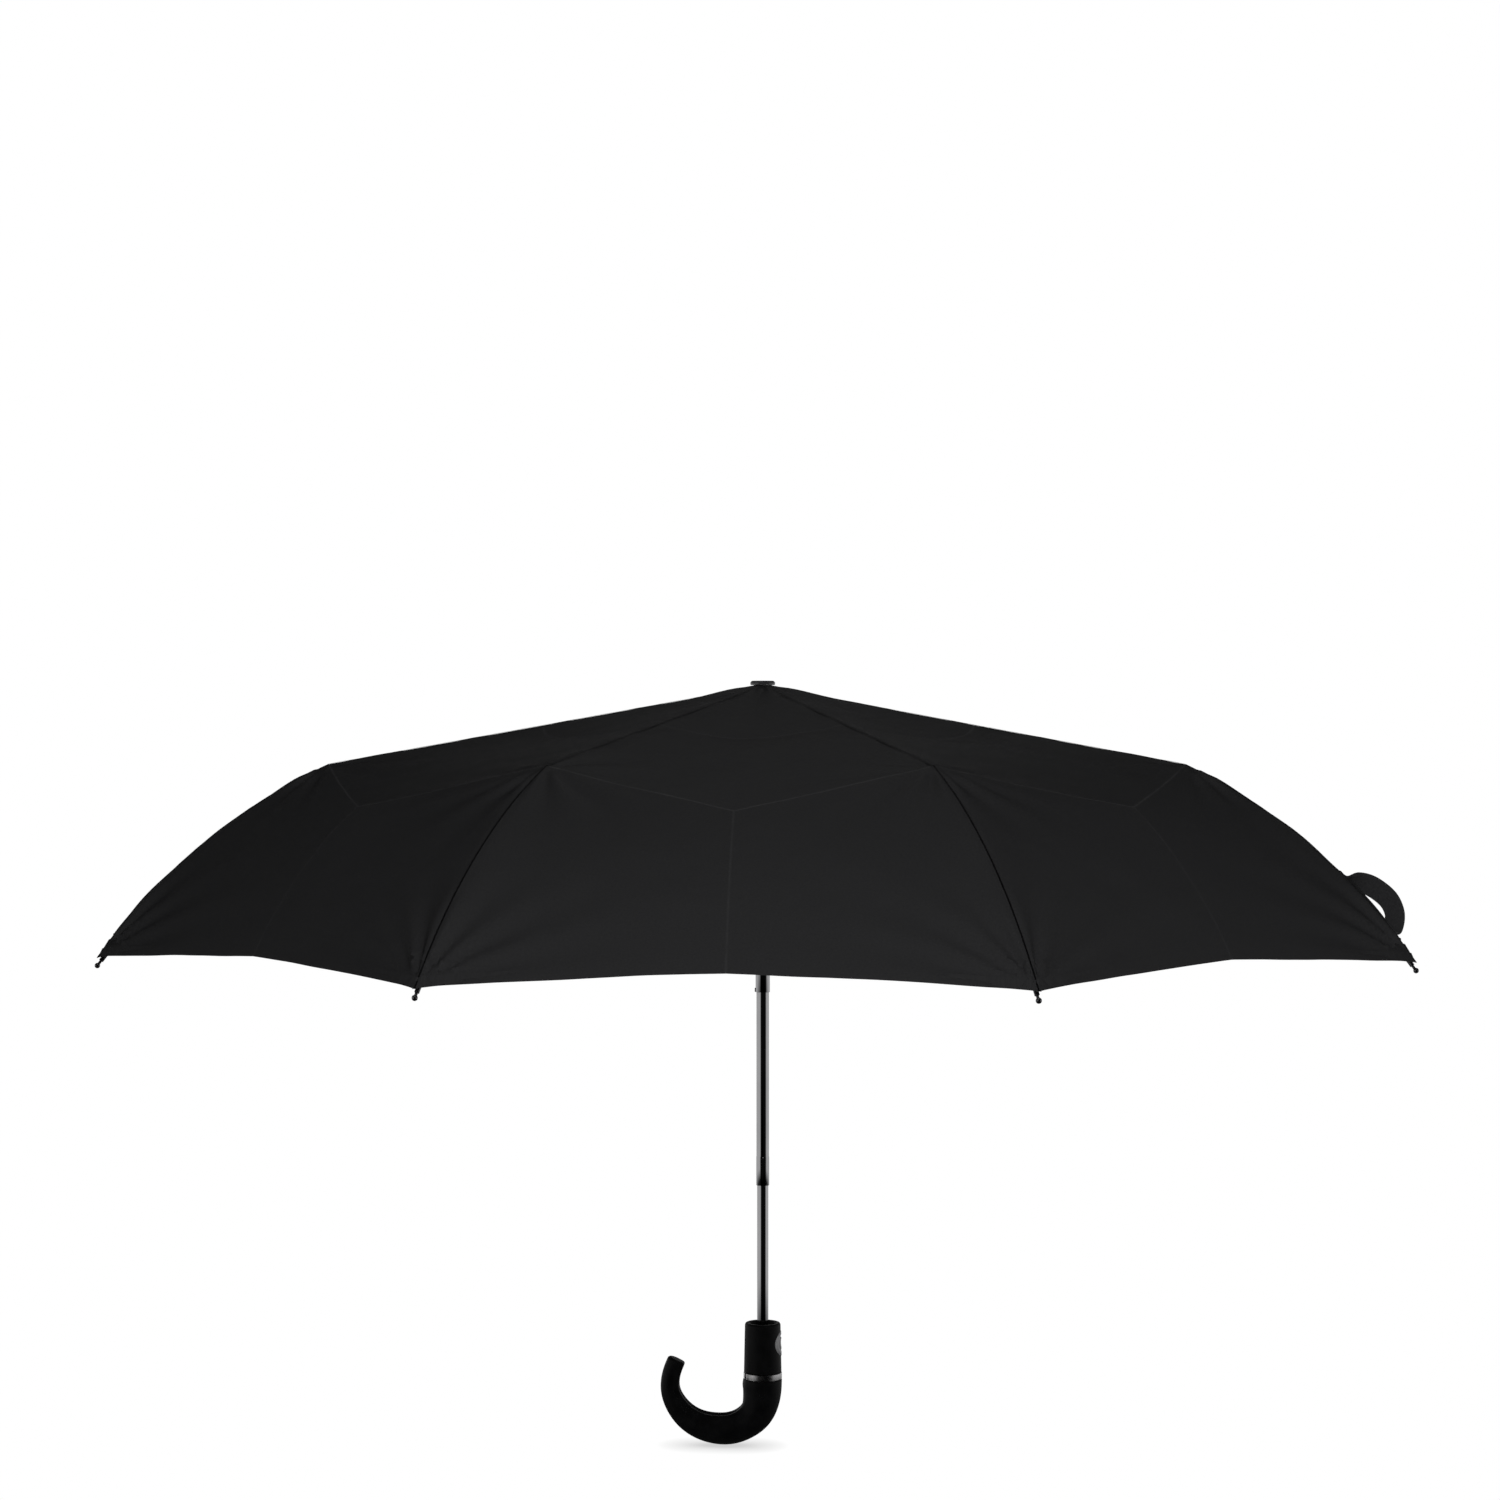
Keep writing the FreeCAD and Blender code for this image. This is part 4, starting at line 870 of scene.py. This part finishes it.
bmesh.ops.translate(drill, verts=drill.verts, vec=(0.0165, 0, button_level))
cut_away(collar, drill)
collar.data.set_sharp_from_angle(angle=math.radians(30))
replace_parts(collar, "handle_collar")


# -------------------------------------------- release button
# A round satin grey button that follows the collar's curve, with a raised rim and rings
# round a slightly dished middle.
grey_button, tree, shader, place = new_material("satin_grey_button")
add_handling(tree, shader, place["Object"], 260, (0.17, 0.17, 0.175), (0.24, 0.24, 0.245), 0.28, 0.42)
shader.inputs["Metallic"].default_value = 0.55
add_grain(tree, shader, place["Object"], 4000, 0.15, 0.00003)
button_outline = [(0.0, 0.00005), (0.0030, 0.0000), (0.0036, 0.00045), (0.0043, 0.00045), (0.0048, -0.0001),
                  (0.0062, -0.0001), (0.0067, 0.00045), (0.0078, 0.00045), (0.0082, 0.0001), (0.0086, 0.0005),
                  (0.0091, 0.0004), (BUTTON_RADIUS, -0.0002), (BUTTON_RADIUS, -0.0040)]
button_bm = bmesh.new()
button_line = [button_bm.verts.new((height, radius, 0)) for radius, height in button_outline]
button_edges = [button_bm.edges.new(pair) for pair in zip(button_line, button_line[1:])]
bmesh.ops.subdivide_edges(button_bm, edges=button_edges, cuts=2)
bmesh.ops.spin(button_bm, geom=button_bm.verts[:] + button_bm.edges[:], cent=(0, 0, 0), axis=(1, 0, 0),
               angle=2 * math.pi, steps=96, use_merge=True)
bmesh.ops.remove_doubles(button_bm, verts=button_bm.verts, dist=1e-6)
for vertex in button_bm.verts:
    curve = collar_radius(button_level + vertex.co.z)
    vertex.co.x += math.sqrt(curve ** 2 - vertex.co.y ** 2) - 0.0001
    vertex.co.z += button_level
bmesh.ops.recalc_face_normals(button_bm, faces=button_bm.faces)
button_cap = finish_piece("release_button_cap", button_bm, grey_button, "release_button", 50)
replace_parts(button_cap, "button")


# -------------------------------------------- trim ring
# A satin pewter band between collar and crook, with softened edges and a narrow split at
# the back left where its ends meet over the mould line.
pewter, tree, shader, place = new_material("pewter_ring")
shader.inputs["Metallic"].default_value = 1.0
brushed = stretched(tree, place["Object"], (60, 60, 3000))
add_handling(tree, shader, place["Object"], 330, (0.66, 0.65, 0.66), (0.86, 0.85, 0.85), 0.24, 0.46)
add_grain(tree, shader, brushed, 2.0, 0.3, 0.00008, 5.0)
ring_low, ring_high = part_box("trim_ring")
RING_OUT = ring_high[0]
RING_BORE = 0.0106
ring_foot, ring_top = ring_low[2] + 0.0003, ring_high[2] - 0.0003
ring_outline = [(RING_BORE, ring_foot), (RING_OUT, ring_foot), (RING_OUT, ring_top), (RING_BORE, ring_top)]
ring_bm = turned(rounded(ring_outline, 0.0005, 4), 160)
ring = finish_piece("trim_band", ring_bm, pewter, "handle")
SPLIT_TURN = math.radians(208)
split = bmesh.new()
bmesh.ops.create_cube(split, size=1.0)
bmesh.ops.scale(split, vec=(0.006, 0.0022, 0.02), verts=split.verts)
bmesh.ops.translate(split, vec=(RING_OUT - 0.0005, 0, 0), verts=split.verts)
bmesh.ops.rotate(split, verts=split.verts, matrix=Matrix.Rotation(SPLIT_TURN, 3, "Z"))
bmesh.ops.translate(split, vec=(0, 0, (ring_low[2] + ring_high[2]) / 2), verts=split.verts)
cut_away(ring, split)
ring.data.set_sharp_from_angle(angle=math.radians(30))
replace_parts(ring, "trim_ring")


# -------------------------------------------- crook handle
# The hooked grip, moulded in two soft-touch halves: round outside, hollowed along the
# inside of the hook between two soft ridges, and cut flat at its end.
# Its middle line as across, up and radius, in mm.
CROOK = [(0.0, 0.0, 14.3), (-0.2, -10.0, 14.4), (-4.2, -26.2, 12.7), (-19.3, -36.9, 11.3),
         (-32.0, -38.3, 11.1), (-47.5, -35.3, 10.0), (-60.5, -26.3, 8.7), (-69.0, -12.5, 7.3),
         (-70.0, -3.5, 6.7), (-68.0, 6.3, 6.8), (-64.3, 13.9, 6.7)]
crook_line = [Vector((x, 0, z)) / 1000 for x, z, radius in CROOK]
crook_radii = [radius / 1000 for x, z, radius in CROOK]
crook_along = [0.0]
for before, after in zip(crook_line, crook_line[1:]):
    crook_along.append(crook_along[-1] + (after - before).length)


def crook_at(length):
    """Middle point and radius of the crook at a length from its top, on a smooth line."""
    k = 0
    while k < len(crook_along) - 2 and crook_along[k + 1] < length:
        k += 1
    share = (k + (length - crook_along[k]) / (crook_along[k + 1] - crook_along[k])) / (len(crook_line) - 1)
    return smooth_between(crook_line, share), smooth_between(crook_radii, share)


CROOK_SAMPLES = 160
SMOOTH_PASSES = 110
even_line = []
for k in range(CROOK_SAMPLES + 1):
    middle, thick = crook_at(crook_along[-1] * k / CROOK_SAMPLES)
    even_line.append(Vector((middle.x, middle.z, thick)))
for _ in range(SMOOTH_PASSES):
    even_line[2:-2] = [before * 0.25 + here * 0.5 + after * 0.25
                       for before, here, after in zip(even_line[1:-3], even_line[2:-2], even_line[3:-1])]


def crook_smooth(length):
    """Middle point and radius on the evened line, at a length from the crook's top."""
    place_at = min(max(length / crook_along[-1], 0.0), 1.0) * CROOK_SAMPLES
    k = min(int(place_at), CROOK_SAMPLES - 1)
    mixed = even_line[k].lerp(even_line[k + 1], place_at - k)
    return Vector((mixed.x, 0, mixed.y)), mixed.z


CROOK_SEGMENTS = 96
CROOK_STEPS = 120
crook_bm = bmesh.new()
bmesh.ops.create_circle(crook_bm, segments=CROOK_SEGMENTS, radius=1.0, cap_ends=False)
ring_verts = crook_bm.verts[:]
ring_edges = crook_bm.edges[:]
angles = [math.atan2(v.co.y, v.co.x) for v in ring_verts]


def place_ring(verts, length, shrink=1.0, push=0.0):
    """Sets one ring of the grip round the line, with its hollow and ridges on the inside."""
    point, radius = crook_smooth(length)
    heading = (crook_smooth(length + 0.002)[0] - crook_smooth(length - 0.002)[0]).normalized()
    inward = Vector((0, 1, 0)).cross(heading).normalized()
    grip = min(1.0, max(0.0, (length - 0.012) / 0.036))
    for vertex, angle in zip(verts, angles):
        off = abs(angle)
        hollow = 0.11 * math.exp(-(off / 0.30) ** 2)
        ridge = 0.20 * math.exp(-((off - 0.62) / 0.30) ** 2)
        reach = radius * shrink * (1 + grip * (ridge - hollow))
        lip = 0.0007 * math.exp(-((length - 0.0045) / 0.0042) ** 2) * max(0.0, math.cos(angle))
        around = inward * math.cos(angle) + Vector((0, 1, 0)) * math.sin(angle)
        vertex.co = point + around * (reach + lip) + heading * push


def next_ring(verts, edges):
    """Extrudes the open end and gives its new vertices, in the same order, and edges."""
    grown = bmesh.ops.extrude_edge_only(crook_bm, edges=edges)
    new_verts = {v for v in grown["geom"] if isinstance(v, bmesh.types.BMVert)}
    new_edges = [e for e in grown["geom"] if isinstance(e, bmesh.types.BMEdge)
                 and all(v in new_verts for v in e.verts)]
    ahead = [next(e.other_vert(v) for e in v.link_edges if e.other_vert(v) in new_verts) for v in verts]
    return ahead, new_edges


place_ring(ring_verts, 0.0, 0.985)
END_ROUND = 0.0020
END_STEPS = 6
for step in range(CROOK_STEPS + 1):
    ring_verts, ring_edges = next_ring(ring_verts, ring_edges)
    place_ring(ring_verts, 0.0002 + step / CROOK_STEPS * (crook_along[-1] - END_ROUND - 0.0002))
for step in range(1, END_STEPS + 1):
    turn = step / END_STEPS * math.pi / 2
    ring_verts, ring_edges = next_ring(ring_verts, ring_edges)
    inset = END_ROUND * (1 - math.cos(turn))
    place_ring(ring_verts, crook_along[-1] - END_ROUND, 1 - inset / crook_smooth(crook_along[-1])[1],
               END_ROUND * math.sin(turn))
bmesh.ops.contextual_create(crook_bm, geom=ring_edges)
bmesh.ops.contextual_create(crook_bm, geom=[e for e in crook_bm.edges if e.is_boundary])
bmesh.ops.recalc_face_normals(crook_bm, faces=crook_bm.faces)
crook = finish_piece("crook_grip", crook_bm, soft_touch, "handle", 40)
pin_low, pin_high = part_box("handle_pin")
pin_level = (pin_low[2] + pin_high[2]) / 2
for side in (-1, 1):
    recess = bmesh.new()
    bmesh.ops.create_cone(recess, cap_ends=True, segments=48, radius1=0.0019, radius2=0.0024, depth=0.004)
    bmesh.ops.rotate(recess, verts=recess.verts, matrix=Matrix.Rotation(math.radians(-90 * side), 3, "X"))
    bmesh.ops.translate(recess, verts=recess.verts, vec=(0, side * 0.0151, pin_level))
    cut_away(crook, recess)
socket = bmesh.new()
bmesh.ops.create_cone(socket, cap_ends=True, segments=64, radius1=0.00425, radius2=0.00425, depth=0.030)
bmesh.ops.translate(socket, verts=socket.verts, vec=(0, 0, -0.007))
cut_away(crook, socket)
crook.data.set_sharp_from_angle(angle=math.radians(35))
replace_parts(crook, "crook_handle")
